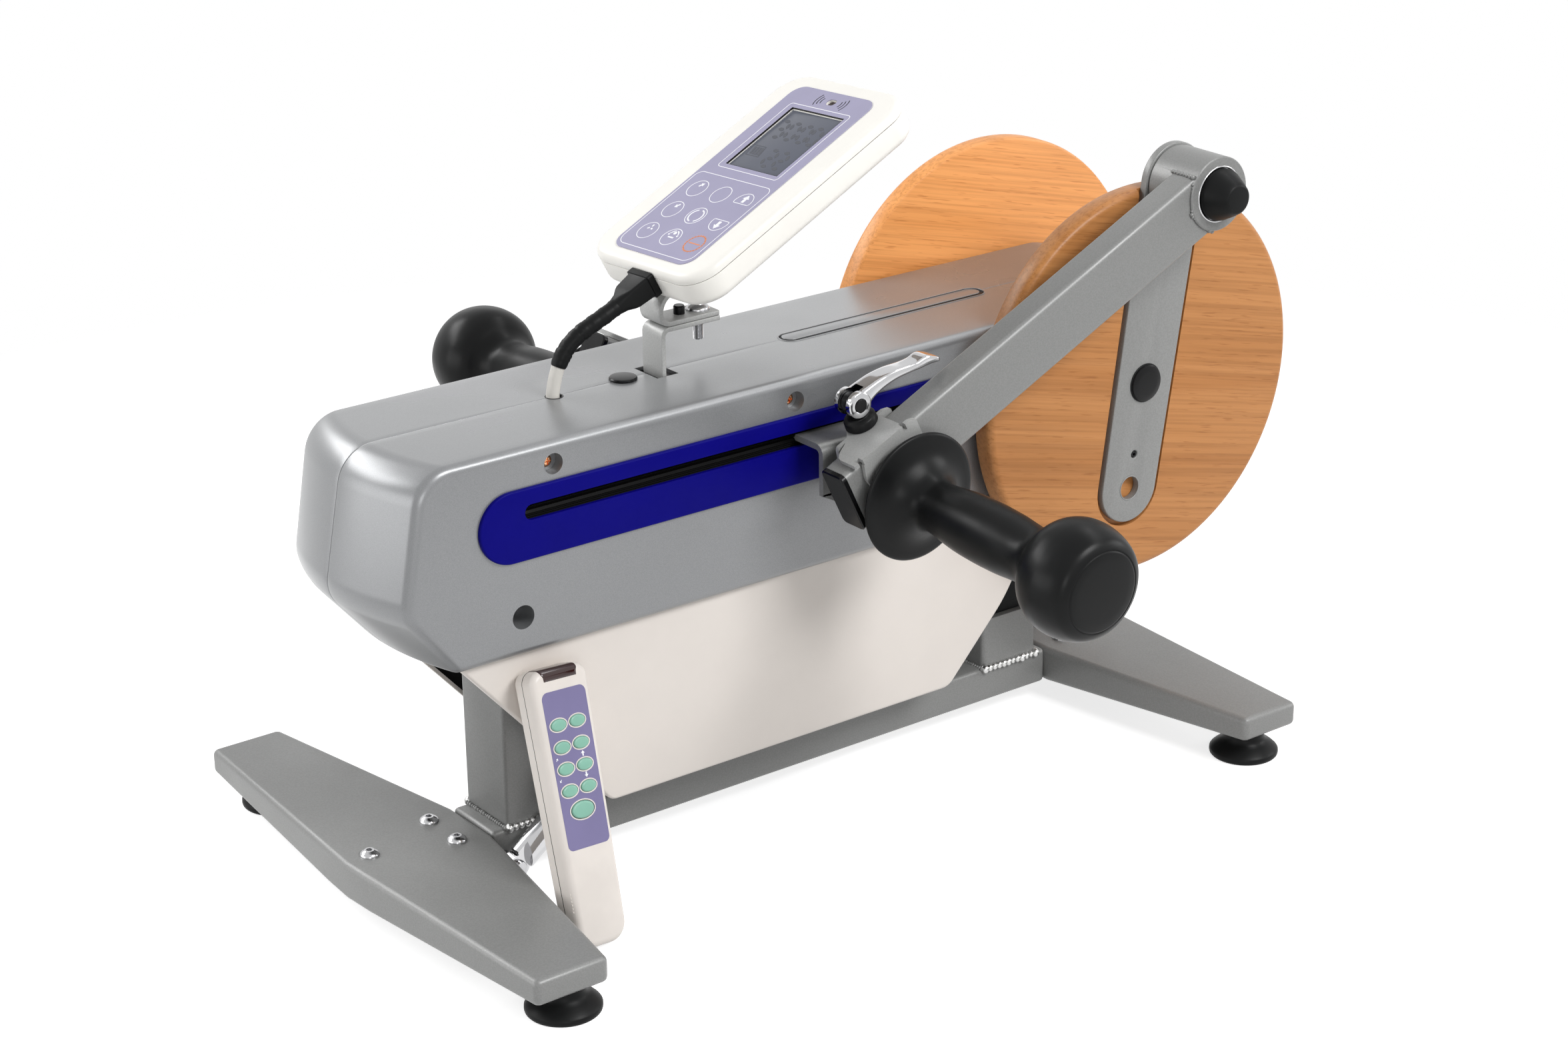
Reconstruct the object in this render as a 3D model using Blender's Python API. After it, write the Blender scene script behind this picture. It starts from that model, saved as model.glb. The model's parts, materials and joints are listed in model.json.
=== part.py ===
"""Motorized hand therapy machine: a floor frame, a tilting drive unit with two wooden crank discs, two
linked arms with padded hand grips, a console on a bracket and a leaning hand remote.

Frame: metres, +Z up, origin on the floor under the middle of the machine. +X runs from the user's end to
the discs, -Y is the near side. Sizes below are in millimetres and are scaled once, in node()."""

import math

import bmesh
import bpy
from mathutils import Matrix, Vector

MM = 0.001
GAP = 0.3

# Discs, cranks and arms
CRANK_X, CRANK_Z = 247.0, 277.0
BODY_W = 74.0
DISC_R, DISC_T = 150.0, 18.0
DISC_FACE = BODY_W + 22.2
PIN_RADIUS, CRANK_LEAN = 153.0, 9.0
PLATE_W, PLATE_T, PLATE_HOLE = 54.0, 6.0, 82.0
PIVOT_Z, LINK = 266.0, 329.0
PIVOT_DROP = 23.0
ARM_H, ARM_W, ARM_END = 48.0, 24.0, 368.0
ARM_IN = DISC_FACE + 21.8
ARM_OUT = ARM_IN + ARM_W
ARM_MID = (ARM_IN + ARM_OUT) / 2
EYE_R, EYE_BORE = 27.5, 20.0
EYE_IN, EYE_END = ARM_IN - 19.4, ARM_OUT + 2.0
GRIP_DROOP, GRIP_L = 3.1, 194.0
LEVER_Y = ARM_IN - 4.5

# Drive unit
BODY_TOP, BODY_BOTTOM, WALL = 341.0, 195.0, 3.0
SKIRT_W = BODY_W - 8.0
NOSE = [(-362, 341, 28), (-379, 244, 26), (-341, 195, 9)]
TAIL = [(317, 195, 30), (317, 341, 40)]
SIDE_R = 6.0
CROWN = 17.5
SLOT_LOW, SLOT_HIGH, SLOT_FRONT, SLOT_REAR = 291.5, 302.5, -287.0, 117.0
TRIM_LOW, TRIM_HIGH, TRIM_FRONT, TRIM_REAR = 263.5, 314.0, -322.0, 152.0
RAIL_Y, RAIL_Z, RAIL_R = BODY_W - 24.0, 297.0, 6.0
TILT_X, TILT_Z = -290.0, 223.0

# Floor frame
BEAM_TOP, BEAM_BOTTOM, BEAM_END_BOTTOM = 44.0, 16.0, 25.0
FOOT_W = 219.0
SHEET = 3.0
POST_X0, POST_X1, POST_HALF = -281.5, -231.5, 26.5
ROD_X, ROD_Z, ROD_Y, ROD_ANGLE, ROD_LENGTH = -286.0, 24.0, SKIRT_W - 24.0, 37.0, 230.0

# Console and remote, each placed by its face centre and three turns
CONSOLE_AT, CONSOLE_TILT, CONSOLE_YAW, CONSOLE_ROLL = (-48.8, 0.0, 469.4), 31.5, -8.1, 8.8
REMOTE_AT, REMOTE_YAW, REMOTE_LEAN, REMOTE_ROLL = (-276.4, -BODY_W - 36.2, 120.9), 7.1, 18.5, -5.3

for thing in list(bpy.data.objects):
    bpy.data.objects.remove(thing, do_unlink=True)


def rad(a):
    return math.radians(a)


def paint(name, colour, rough, metal=0.0):
    m = bpy.data.materials.new(name)
    m.use_nodes = True
    b = m.node_tree.nodes["Principled BSDF"]
    b.inputs["Base Color"].default_value = (*colour, 1.0)
    b.inputs["Roughness"].default_value = rough
    b.inputs["Metallic"].default_value = metal
    return m


GREY_PAINT = ("grey_paint", (0.33, 0.34, 0.34), 0.5, 0.3)
SILVER = ("silver_paint", (0.46, 0.47, 0.49), 0.38, 0.6)
BLUE = ("blue_plastic", (0.02, 0.015, 0.25), 0.35, 0.0)
CREAM = ("cream_plastic", (0.76, 0.71, 0.66), 0.45, 0.0)
BLACK = ("black_rubber", (0.012, 0.012, 0.013), 0.5, 0.0)
WOOD = ("beech", (0.57, 0.30, 0.13), 0.45, 0.0)
STEEL = ("bright_steel", (0.62, 0.62, 0.62), 0.25, 1.0)
DARK = ("dark_steel", (0.09, 0.09, 0.10), 0.45, 0.6)
GREEN = ("green_rubber", (0.27, 0.49, 0.40), 0.5, 0.0)


# Shapes: each returns a closed bmesh in millimetres

def closed(bm):
    bmesh.ops.recalc_face_normals(bm, faces=bm.faces)
    return bm


def loft(rings):
    """A solid through rings with the same number of points."""
    bm = bmesh.new()
    rows = [[bm.verts.new(p) for p in ring] for ring in rings]
    n = len(rows[0])
    for a, b in zip(rows, rows[1:]):
        for i in range(n):
            bm.faces.new((a[i], a[(i + 1) % n], b[(i + 1) % n], b[i]))
    bm.faces.new(rows[0])
    bm.faces.new(list(reversed(rows[-1])))
    return closed(bm)


def lay(axis, t, u, v):
    return {"x": (t, u, v), "y": (u, t, v), "z": (u, v, t)}[axis]


def prism(outline, axis, lo, hi):
    return loft([[lay(axis, t, u, v) for u, v in outline] for t in (lo, hi)])


def slab(x0, x1, y0, y1, z0, z1):
    return prism([(x0, z0), (x1, z0), (x1, z1), (x0, z1)], "y", y0, y1)


def filleted(corners, inset=0.0, seg=4):
    """A convex outline from (u, v, radius) corners, moved inward by inset with its arc centres kept."""
    pts, n = [], len(corners)
    for i, (u, v, r) in enumerate(corners):
        p, q, s = (Vector(corners[j % n][:2]) for j in (i - 1, i, i + 1))
        a, b = (p - q).normalized(), (s - q).normalized()
        half = math.acos(max(-1, min(1, a.dot(b)))) / 2
        mid = (a + b).normalized()
        r = max(r, 0.01)
        c = q + mid * (r / math.sin(half))
        r2 = r - inset
        if r2 <= 0.01:
            pts += [tuple(c + mid * ((inset - r) / math.sin(half)))] * (seg + 1)
            continue
        f0 = q + a * (r / math.tan(half)) - c
        f1 = q + b * (r / math.tan(half)) - c
        a0, a1 = math.atan2(f0.y, f0.x), math.atan2(f1.y, f1.x)
        d = (a1 - a0 + math.pi) % (2 * math.pi) - math.pi
        for k in range(seg + 1):
            t = a0 + d * k / seg
            pts.append((c.x + r2 * math.cos(t), c.y + r2 * math.sin(t)))
    return pts


def cushioned(corners, axis, lo, hi, round_hi, seg=4, steps=2, round_lo=0.0):
    """A prism whose hi end, and lo end if asked, is rounded over."""
    s = 1 if hi > lo else -1
    if round_lo:
        rings = [(lo + s * round_lo * (1 - math.cos(math.pi / 2 * k / steps)),
                  round_lo * (1 - math.sin(math.pi / 2 * k / steps))) for k in range(steps + 1)]
    else:
        rings = [(lo, 0.0)]
    rings += [(hi - s * round_hi * (1 - math.sin(math.pi / 2 * k / steps)),
               round_hi * (1 - math.cos(math.pi / 2 * k / steps))) for k in range(steps + 1)]
    return loft([[lay(axis, t, u, v) for u, v in filleted(corners, inset, seg)] for t, inset in rings])


def frame_of(direction):
    w = Vector(direction).normalized()
    u = w.orthogonal().normalized()
    return u, w.cross(u), w


def turned(profile, at, direction, n=24):
    """A solid of revolution from (distance, radius) pairs along a direction; end radii may be 0."""
    u, v, w = frame_of(direction)
    at = Vector(at)
    bm = bmesh.new()
    rows = []
    for t, r in profile:
        c = at + w * t
        if r < 1e-6:
            rows.append([bm.verts.new(c)])
        else:
            rows.append([bm.verts.new(c + (u * math.cos(2 * math.pi * k / n) + v * math.sin(2 * math.pi * k / n)) * r)
                         for k in range(n)])
    for a, b in zip(rows, rows[1:]):
        for i in range(n):
            j = (i + 1) % n
            if len(a) == 1:
                bm.faces.new((a[0], b[j], b[i]))
            elif len(b) == 1:
                bm.faces.new((a[i], a[j], b[0]))
            else:
                bm.faces.new((a[i], a[j], b[j], b[i]))
    for row in (rows[0], rows[-1]):
        if len(row) > 1:
            bm.faces.new(row)
    return closed(bm)


def bar(p, q, r, n=16):
    p, q = Vector(p), Vector(q)
    return turned([(0, r), ((q - p).length, r)], p, q - p, n)


def swept(path, radii, n=12):
    """A round bar along a path of points, with one radius for each point."""
    path = [Vector(p) for p in path]
    rings, up = [], None
    for i, p in enumerate(path):
        w = (path[min(i + 1, len(path) - 1)] - path[max(i - 1, 0)]).normalized()
        up = w.orthogonal().normalized() if up is None else (up - w * up.dot(w)).normalized()
        side = w.cross(up)
        rings.append([p + (up * math.cos(2 * math.pi * k / n) + side * math.sin(2 * math.pi * k / n)) * radii[i]
                      for k in range(n)])
    return loft(rings)


# Objects: a node is a first shape plus others that Boolean modifiers join to it or cut from it

def thing_of(name, bm, origin):
    bmesh.ops.translate(bm, vec=-Vector(origin), verts=bm.verts)
    bmesh.ops.scale(bm, vec=(MM, MM, MM), verts=bm.verts)
    me = bpy.data.meshes.new(name)
    bm.to_mesh(me)
    bm.free()
    me.shade_smooth()
    me.set_sharp_from_angle(angle=rad(32))
    ob = bpy.data.objects.new(name, me)
    bpy.context.scene.collection.objects.link(ob)
    return ob


def node(name, material, bm, origin=(0, 0, 0), add=(), cut=(), parent=None, bevel=0.0):
    ob = thing_of(name, bm, origin)
    if parent is None:
        ob.location = Vector(origin) * MM
    else:
        ob.parent = parent
    ob.data.materials.append(paint(name, *material[1:]))
    if bevel:
        m = ob.modifiers.new("edge", "BEVEL")
        m.width, m.segments, m.limit_method, m.angle_limit = bevel * MM, 2, "ANGLE", rad(50)
    for kind, shapes in (("UNION", add), ("DIFFERENCE", cut)):
        for k, shape in enumerate(shapes):
            tool = thing_of(f"{name}_{kind[:3].lower()}{k}", shape, origin)
            tool.hide_render = True
            tool.display_type = "WIRE"
            tool.location = ob.location
            tool.parent = parent
            m = ob.modifiers.new(f"{kind.lower()}{k}", "BOOLEAN")
            m.object, m.operation, m.solver = tool, kind, "EXACT"
    return ob


def holder(name, matrix):
    e = bpy.data.objects.new(name, None)
    bpy.context.scene.collection.objects.link(e)
    e.matrix_world = matrix
    return e


# Floor frame

def foot(name, apex, flat, end_out, end_in):
    """A low beam, deepest where it takes the rail, with tapered ends; apex is its outer point."""
    half = POST_HALF + 0.5
    knee = apex + (end_out - apex) * half / FOOT_W
    cuts = [(-FOOT_W, end_out, end_in, BEAM_END_BOTTOM), (-half, knee, flat, BEAM_BOTTOM), (0, apex, flat, BEAM_BOTTOM),
            (half, knee, flat, BEAM_BOTTOM), (FOOT_W, end_out, end_in, BEAM_END_BOTTOM)]
    beam = loft([[(a, y, z), (b, y, z), (b, y, BEAM_TOP), (a, y, BEAM_TOP)] for y, a, b, z in cuts])
    side = SHEET if end_in > end_out else -SHEET
    cuts[0], cuts[-1] = (SHEET - FOOT_W, *cuts[0][1:]), (FOOT_W - SHEET, *cuts[-1][1:])
    hollow = loft([[(a + side * 1.1, y, z + SHEET), (b - side, y, z + SHEET), (b - side, y, BEAM_TOP - SHEET),
                    (a + side * 1.1, y, BEAM_TOP - SHEET)] for y, a, b, z in cuts])
    drain = bar(((apex + flat) / 2, 0, 0), ((apex + flat) / 2, 0, BEAM_BOTTOM + 5), 4.0, 12)
    return node(name, GREY_PAINT, beam, bevel=4.0, cut=[hollow, drain])


foot("front_foot", -397, -294.0, -383, -327)
foot("rear_foot", 312.0, 217.0, 299.0, 246.0)
node("base_rail", GREY_PAINT, slab(-293.7, 216.7, -26.5, 26.5, BEAM_BOTTOM, BEAM_TOP),
     add=[slab(153.0, 207.0, -26.5, 26.5, 43.0, 84.5),
          bar((ROD_X, -25.0, ROD_Z), (ROD_X, -ROD_Y - 8, ROD_Z), 5.0)],
     cut=[slab(-300, 220, -26.5 + SHEET, 26.5 - SHEET, BEAM_BOTTOM + SHEET, BEAM_TOP - SHEET),
          slab(153.0 + SHEET, 207.0 - SHEET, -26.5 + SHEET, 26.5 - SHEET, 35.0, 84.5 - SHEET)])
for name, x, y in (("pad_front_near", -346, 27 - FOOT_W), ("pad_front_far", -346, FOOT_W - 27),
                   ("pad_rear_near", 272, 27 - FOOT_W), ("pad_rear_far", 272, FOOT_W - 27)):
    node(name, BLACK, turned([(0, 24.5), (1.5, 26), (4, 26), (9, 22), (13, 16), (22.7, 15)], (x, y, 0), (0, 0, 1), 20))
post = prism([(POST_X0, 44.3), (POST_X1, 44.3), (POST_X1, 196), (-262, 232), (-272, 239), (-303, 239), (-305, 226),
              (-304, 208), (POST_X0, 190)], "y", -POST_HALF, POST_HALF)
node("front_post", GREY_PAINT, post,
     cut=[slab(-277.5, -235.5, -22.3, 22.3, 60, 260), slab(-310, -277, -22.3, 22.3, 200, 260),
          bar((TILT_X, -40, TILT_Z), (TILT_X, 40, TILT_Z), 8.3)])
node("tilt_pin", STEEL, bar((TILT_X, -34, TILT_Z), (TILT_X, 34, TILT_Z), 8.0))
node("rest_pad", BLACK, slab(156.0, 204.0, -23.0, 23.0, 84.8, 94.7))

# Tilt actuator: a chrome rod on a stud of the rail, and a tube with its own eye that slides along it
lift = Vector((math.cos(rad(ROD_ANGLE)), 0, math.sin(rad(ROD_ANGLE))))
foot_eye = Vector((ROD_X, -ROD_Y, ROD_Z))
head_eye = foot_eye + lift * ROD_LENGTH
node("actuator_rod", STEEL, bar(foot_eye + lift * 6, foot_eye + lift * 128, 10.0), origin=foot_eye,
     add=[bar(foot_eye + Vector((0, 4.5, 0)), foot_eye - Vector((0, 4.5, 0)), 9.0)],
     cut=[bar(foot_eye + Vector((0, 20, 0)), foot_eye - Vector((0, 20, 0)), 5.3),
          slab(ROD_X - 12, ROD_X + 8, -60, -ROD_Y - 4.5, 0, 50), slab(ROD_X - 12, ROD_X + 8, -ROD_Y + 4.5, -20, 0, 50)])
node("actuator_tube", DARK,
     turned([(86, 14), (90, 16), (160, 16), (166, 12), (170, 4.5), (ROD_LENGTH - 2, 4.5)], foot_eye, lift, 16), origin=foot_eye + lift * 90,
     add=[bar(head_eye + Vector((0, 4.5, 0)), head_eye - Vector((0, 4.5, 0)), 10.0)],
     cut=[bar(foot_eye + lift * 70, foot_eye + lift * 152, 10.3)])

# Casing: two half shells that meet at the centre line; the nose is crowned across the machine

def case_line(y, deep=0.0):
    """The side outline at a distance from the centre line; deep is the least corner radius."""
    c = CROWN * (1 - min(1.0, max(0.0, y) / BODY_W) ** 2)
    nose = [(x - k * c, z, r) for (x, z, r), k in zip(NOSE, (0.9, 1.0, 0.75))]
    return [(x, z, max(r, deep)) for x, z, r in nose + TAIL]


edge_rings = [(BODY_W - SIDE_R * (1 - math.sin(math.pi / 4 * k)), SIDE_R * (1 - math.cos(math.pi / 4 * k))) for k in range(3)]
for side, s in (("near", -1), ("far", 1)):
    shell = loft([[(x, s * y, z) for x, z in filleted(case_line(y), i, 4)]
                  for y, i in [(0.15, 0), (BODY_W * 0.35, 0), (BODY_W * 0.65, 0)] + edge_rings])
    hollow = loft([[(x, s * y, z) for x, z in filleted(case_line(y, 8.0), i, 3)]
                   for y, i in ((-2, WALL), (BODY_W * 0.35, WALL), (BODY_W * 0.65, WALL), (BODY_W - 7, WALL), (BODY_W - WALL, WALL + 4))])
    bosses = [turned([(0, 11), (10.5, 11)], (x, s * (BODY_W - 12.5), z), (0, s, 0), 12) for x, z in ((-261.7, 325.3), (-61.7, 324.1))]
    bosses.append(turned([(0, 12), (28, 12)], (TILT_X, s * (BODY_W - 30), TILT_Z), (0, s, 0), 12))
    cuts = [hollow,
            slab(-337, 305, min(-s * 2, s * (SKIRT_W + 0.4)), max(-s * 2, s * (SKIRT_W + 0.4)), 180, 205),
            prism(filleted([(SLOT_FRONT - 2, 289.5, 7.4), (SLOT_REAR + 2, 289.5, 7.4), (SLOT_REAR + 2, 304.5, 7.4),
                            (SLOT_FRONT - 2, 304.5, 7.4)], 0, 4), "y", s * (BODY_W - 14), s * (BODY_W + 6)),
            slab(-136, -118, -14, 14, 330, 350),
            bar((-212, 0, 330), (-212, 0, 350), 6.5),
            prism(filleted([(-8, -5.5, 5.4), (206, -5.5, 5.4), (206, 5.5, 5.4), (-8, 5.5, 5.4)], 0, 4), "z", 339.3, 350),
            bar((CRANK_X, s * (BODY_W - 14), CRANK_Z), (CRANK_X, s * (BODY_W + 6), CRANK_Z), 17.0)]
    late = [turned([(0, 7.3), (12, 7.3)], (x, s * (BODY_W - 9), z), (0, s, 0), 16) for x, z in ((-261.7, 325.3), (-61.7, 324.1))]
    late.append(turned([(0, 8.5), (60, 8.5)], (TILT_X, s * (BODY_W - 34), TILT_Z), (0, s, 0), 16))
    ob = node(f"casing_{side}", SILVER, shell, origin=(TILT_X, 0, TILT_Z), cut=cuts)
    for k, shape in enumerate(bosses + late):
        tool = thing_of(f"casing_{side}_boss{k}", shape, (TILT_X, 0, TILT_Z))
        tool.hide_render, tool.display_type, tool.location = True, "WIRE", ob.location
        m = ob.modifiers.new(f"boss{k}", "BOOLEAN")
        m.object, m.operation, m.solver = tool, "UNION" if k < 3 else "DIFFERENCE", "EXACT"

    trim = cushioned([(TRIM_FRONT, TRIM_LOW, 25.2), (TRIM_REAR, TRIM_LOW, 25.2), (TRIM_REAR, TRIM_HIGH, 25.2),
                      (TRIM_FRONT, TRIM_HIGH, 25.2)], "y", s * (BODY_W + GAP), s * (BODY_W + 2.8), 0.9, seg=6, steps=1)
    node(f"trim_{side}", BLUE, trim, origin=(TILT_X, 0, TILT_Z),
         cut=[prism(filleted([(SLOT_FRONT, SLOT_LOW, 5.4), (SLOT_REAR, SLOT_LOW, 5.4), (SLOT_REAR, SLOT_HIGH, 5.4),
                              (SLOT_FRONT, SLOT_HIGH, 5.4)], 0, 4), "y", s * (BODY_W - 4), s * (BODY_W + 6))])

    edge = [(-336, 210, 1), (-336, 194, 2), (-219, 62, 10), (86, 62, 14), (148, 128, 120), (172, 195, 3), (172, 210, 1)]
    node(f"skirt_{side}", CREAM, cushioned(edge, "y", s * (SKIRT_W - 7.4), s * SKIRT_W, 1.6, steps=1), origin=(TILT_X, 0, TILT_Z),
         cut=[prism(filleted([(u, v, max(r, 3)) for u, v, r in edge], 2.6), "y", s * (SKIRT_W - 16), s * (SKIRT_W - 2.5))])

# Chassis: floor, tilt ears, rail end plates with both guide rods, bearing cheeks, rest leg and actuator lugs
ears = [prism([(-320, 203), (-215, 203), (-215, 243), (-320, 243)], "y", min(a, b), max(a, b))
        for a, b in ((-31.8, -27.3), (27.3, 31.8))]
rods = [bar((-315, y, RAIL_Z), (157, y, RAIL_Z), RAIL_R, 12) for y in (-RAIL_Y, RAIL_Y)]
cheeks = [slab(205, 290, min(a, b), max(a, b), 203, 312) for a, b in ((-47, -41), (41, 47))]
pw, pn = BODY_W - 3.4, SKIRT_W - 7.7
plate_outline = [(-pn, 203), (pn, 203), (pn, 216), (pw, 216), (pw, 312), (-pw, 312), (-pw, 216), (-pn, 216)]
lx, lz = head_eye.x, head_eye.z
lug = [slab(lx - 12.7, lx + 26.3, 4.8 - ROD_Y, 9 - ROD_Y, lz - 14.4, 219), slab(lx - 12.7, lx + 26.3, -ROD_Y - 9, -ROD_Y - 4.8, lz - 14.4, 219),
       slab(lx - 12.7, lx + 26.3, -ROD_Y - 9, -31, 215, 219), slab(lx - 12.7, lx + 26.3, -36, -30, 203, 219)]
leg = slab(153, 207, -26.5, 26.5, 95, 206)
node("chassis", DARK, slab(-224, 300, -33, 33, 203, 207), origin=(TILT_X, 0, TILT_Z),
     add=[slab(200, 300, -47, 47, 203, 207), *ears, prism(plate_outline, "x", -318, -312),
          prism(plate_outline, "x", 154, 160), *cheeks, *rods, *lug, leg,
          slab(-136, -130.3, -11, 11, 205, 334)],
     cut=[bar((TILT_X, -40, TILT_Z), (TILT_X, 40, TILT_Z), 8.3), bar((CRANK_X, -60, CRANK_Z), (CRANK_X, 60, CRANK_Z), 12.8),
          slab(156.5, 212, -23, 23, 98.5, 201), slab(150, 164, 21, 39, 215, 320)])

# Drive: gearmotor, belt and the crank shaft with its pulley
MOTOR_X, MOTOR_Z, SMALL_R, LARGE_R = 77.0, 247.0, 20.0, 55.0
node("gearmotor", DARK, slab(38, 112, -30, 18, 207.3, 284), origin=(TILT_X, 0, TILT_Z), bevel=3.0,
     add=[bar((-55, -6, 239), (40, -6, 239), 30.0), bar((MOTOR_X, 10, MOTOR_Z), (MOTOR_X, 38, MOTOR_Z), 6.0, 16)])
node("motor_pulley", STEEL, bar((MOTOR_X, 24.3, MOTOR_Z), (MOTOR_X, 36.3, MOTOR_Z), SMALL_R),
     origin=(MOTOR_X, 0, MOTOR_Z), cut=[bar((MOTOR_X, 20, MOTOR_Z), (MOTOR_X, 40, MOTOR_Z), 6.3, 16)])


def belt_line(extra, n=12):
    d = Vector((CRANK_X - MOTOR_X, CRANK_Z - MOTOR_Z))
    base = math.atan2(d.y, d.x)
    open_ = math.acos((SMALL_R - LARGE_R) / d.length)
    big = [base + open_ - 2 * open_ * k / n for k in range(n + 1)]
    small = [base - open_ - (2 * math.pi - 2 * open_) * k / n for k in range(n + 1)]
    return ([(CRANK_X + (LARGE_R + extra) * math.cos(a), CRANK_Z + (LARGE_R + extra) * math.sin(a)) for a in big]
            + [(MOTOR_X + (SMALL_R + extra) * math.cos(a), MOTOR_Z + (SMALL_R + extra) * math.sin(a)) for a in small])


node("drive_belt", BLACK, prism(belt_line(2.8), "y", 25.3, 35.3), origin=(TILT_X, 0, TILT_Z),
     cut=[prism(belt_line(0.7), "y", 20, 40)])
node("crank_shaft", STEEL, bar((CRANK_X, -DISC_FACE - 0.8, CRANK_Z), (CRANK_X, DISC_FACE + 0.8, CRANK_Z), 12.5), origin=(CRANK_X, 0, CRANK_Z),
     add=[bar((CRANK_X, 24.3, CRANK_Z), (CRANK_X, 36.3, CRANK_Z), LARGE_R, 36)])
node("control_board", GREEN, slab(-212, -142, -28, 28, 211, 213), origin=(TILT_X, 0, TILT_Z),
     add=[slab(-200, -170, -20, 20, 212, 232), slab(-162, -150, -15, 12, 212, 224),
          *[slab(x - 3, x + 3, y - 3, y + 3, 207.3, 212) for x in (-205, -149) for y in (-23, 23)]])

# Console: bracket strap, bent bracket plate, two case halves, overlay, display window, lead
z_turn = Matrix.Rotation(rad(CONSOLE_YAW), 3, "Z")
ct, cr = rad(CONSOLE_TILT), rad(CONSOLE_ROLL)
wide, tall = Vector((0, -1, 0)), Vector((math.cos(ct), 0, math.sin(ct)))
out = wide.cross(tall)
wide, out = z_turn @ (wide * math.cos(cr) + out * math.sin(cr)), z_turn @ (out * math.cos(cr) - wide * math.sin(cr))
tall = z_turn @ tall


def placed(at, x, y, z):
    m = Matrix((x, y, z)).transposed().to_4x4()
    m.translation = Vector(at) * MM
    return m


console = holder("console_frame", placed(CONSOLE_AT, wide, tall, out))
CW, CH = 138.0, 194.0
rim = [(-CW / 2, -CH / 2, 20), (CW / 2, -CH / 2, 20), (CW / 2, CH / 2, 20), (-CW / 2, CH / 2, 20)]
node("console_front", CREAM, cushioned(rim, "z", -11.0, -0.6, 5.0, steps=2), parent=console,
     cut=[prism(filleted([(u * 0.94, v * 0.95, 16) for u, v, r in rim]), "z", -14, -3.6),
          prism([(-42.3, 4), (48.3, 4), (48.3, 69), (-42.3, 69)], "z", -5, 2)])
node("console_back", CREAM, cushioned(rim, "z", -11.3, -34.0, 7.0, steps=2), parent=console,
     cut=[prism(filleted([(u * 0.94, v * 0.95, 16) for u, v, r in rim]), "z", -10, -31.0)])
node("console_display", DARK, slab(-42, 48, 4.3, 68.7, -6.0, -1.4), parent=console)
node("console_overlay", ("overlay", (0.50, 0.47, 0.70), 0.4, 0.0),
     prism(filleted([(-61, -88, 8), (61, -88, 8), (61, 88, 8), (-61, 88, 8)]), "z", -0.3, 0.0), parent=console,
     cut=[prism([(-41.5, 5), (47.5, 5), (47.5, 68), (-41.5, 68)], "z", -2, 2)])
base = Vector(CONSOLE_AT) - out * 36.1
heel = base - tall * 104.0
flap = loft([[heel + wide * (w - 2.0) + tall * t + out * o for w, o in ((-12, -1.75), (12, -1.75), (12, 1.75), (-12, 1.75))]
             for t in (0.0, 92.0)])
node("console_bracket", GREY_PAINT, slab(-131.0, -80.0, -12, 12, 375.3, 378.8),
     add=[flap, loft([[(-129.0, y, z) for y, z in ((-11.6, 375.6), (11.6, 375.6), (11.6, 378.5), (-11.6, 378.5))],
                      [heel + wide * (w - 2.0) + out * o + tall * 3.0
                       for w, o in ((11.6, -1.45), (-11.6, -1.45), (-11.6, 1.45), (11.6, 1.45))]])],
     origin=(TILT_X, 0, TILT_Z))
plug = Vector(CONSOLE_AT) - wide * 15.0 - out * 19.0 - tall * 97.4
boot = [(0.0, 12.0, 8.5), (5.0, 12.0, 8.5), (5.5, 10.5, 7.5), (20.0, 9.0, 7.0), (25.0, 5.5, 5.5), (30.0, 5.0, 5.0)]
p0, p3 = plug - tall * 27.0, Vector((-213.0, 0.0, 343.0))
p1, p2 = p0 - tall * 34.0, p3 + Vector((9.0, 2.0, 40.0))
lead = [p0 * (1 - t) ** 3 + p1 * 3 * t * (1 - t) ** 2 + p2 * 3 * t * t * (1 - t) + p3 * t ** 3
        for t in (k / 8 for k in range(9))] + [Vector((-213.5, 0.0, 322.0))]
node("console_lead", BLACK, loft([[plug - tall * t + wide * w * u + out * h * v
                                   for u, v in ((-1, -1), (1, -1), (1, 1), (-1, 1))] for t, w, h in boot]),
     origin=(TILT_X, 0, TILT_Z), add=[swept(lead, [4.6, 5.6, 5.6, 5.6, 5.6, 5.6, 5.6, 5.6, 4.5, 4.5], 12)])
node("console_strap", GREY_PAINT, slab(-130.0, -126.5, -12, 12, 296, 375.0), origin=(TILT_X, 0, TILT_Z),
     add=[slab(-130.0, -80.0, -12, 12, 371.5, 375.0)])

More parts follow.
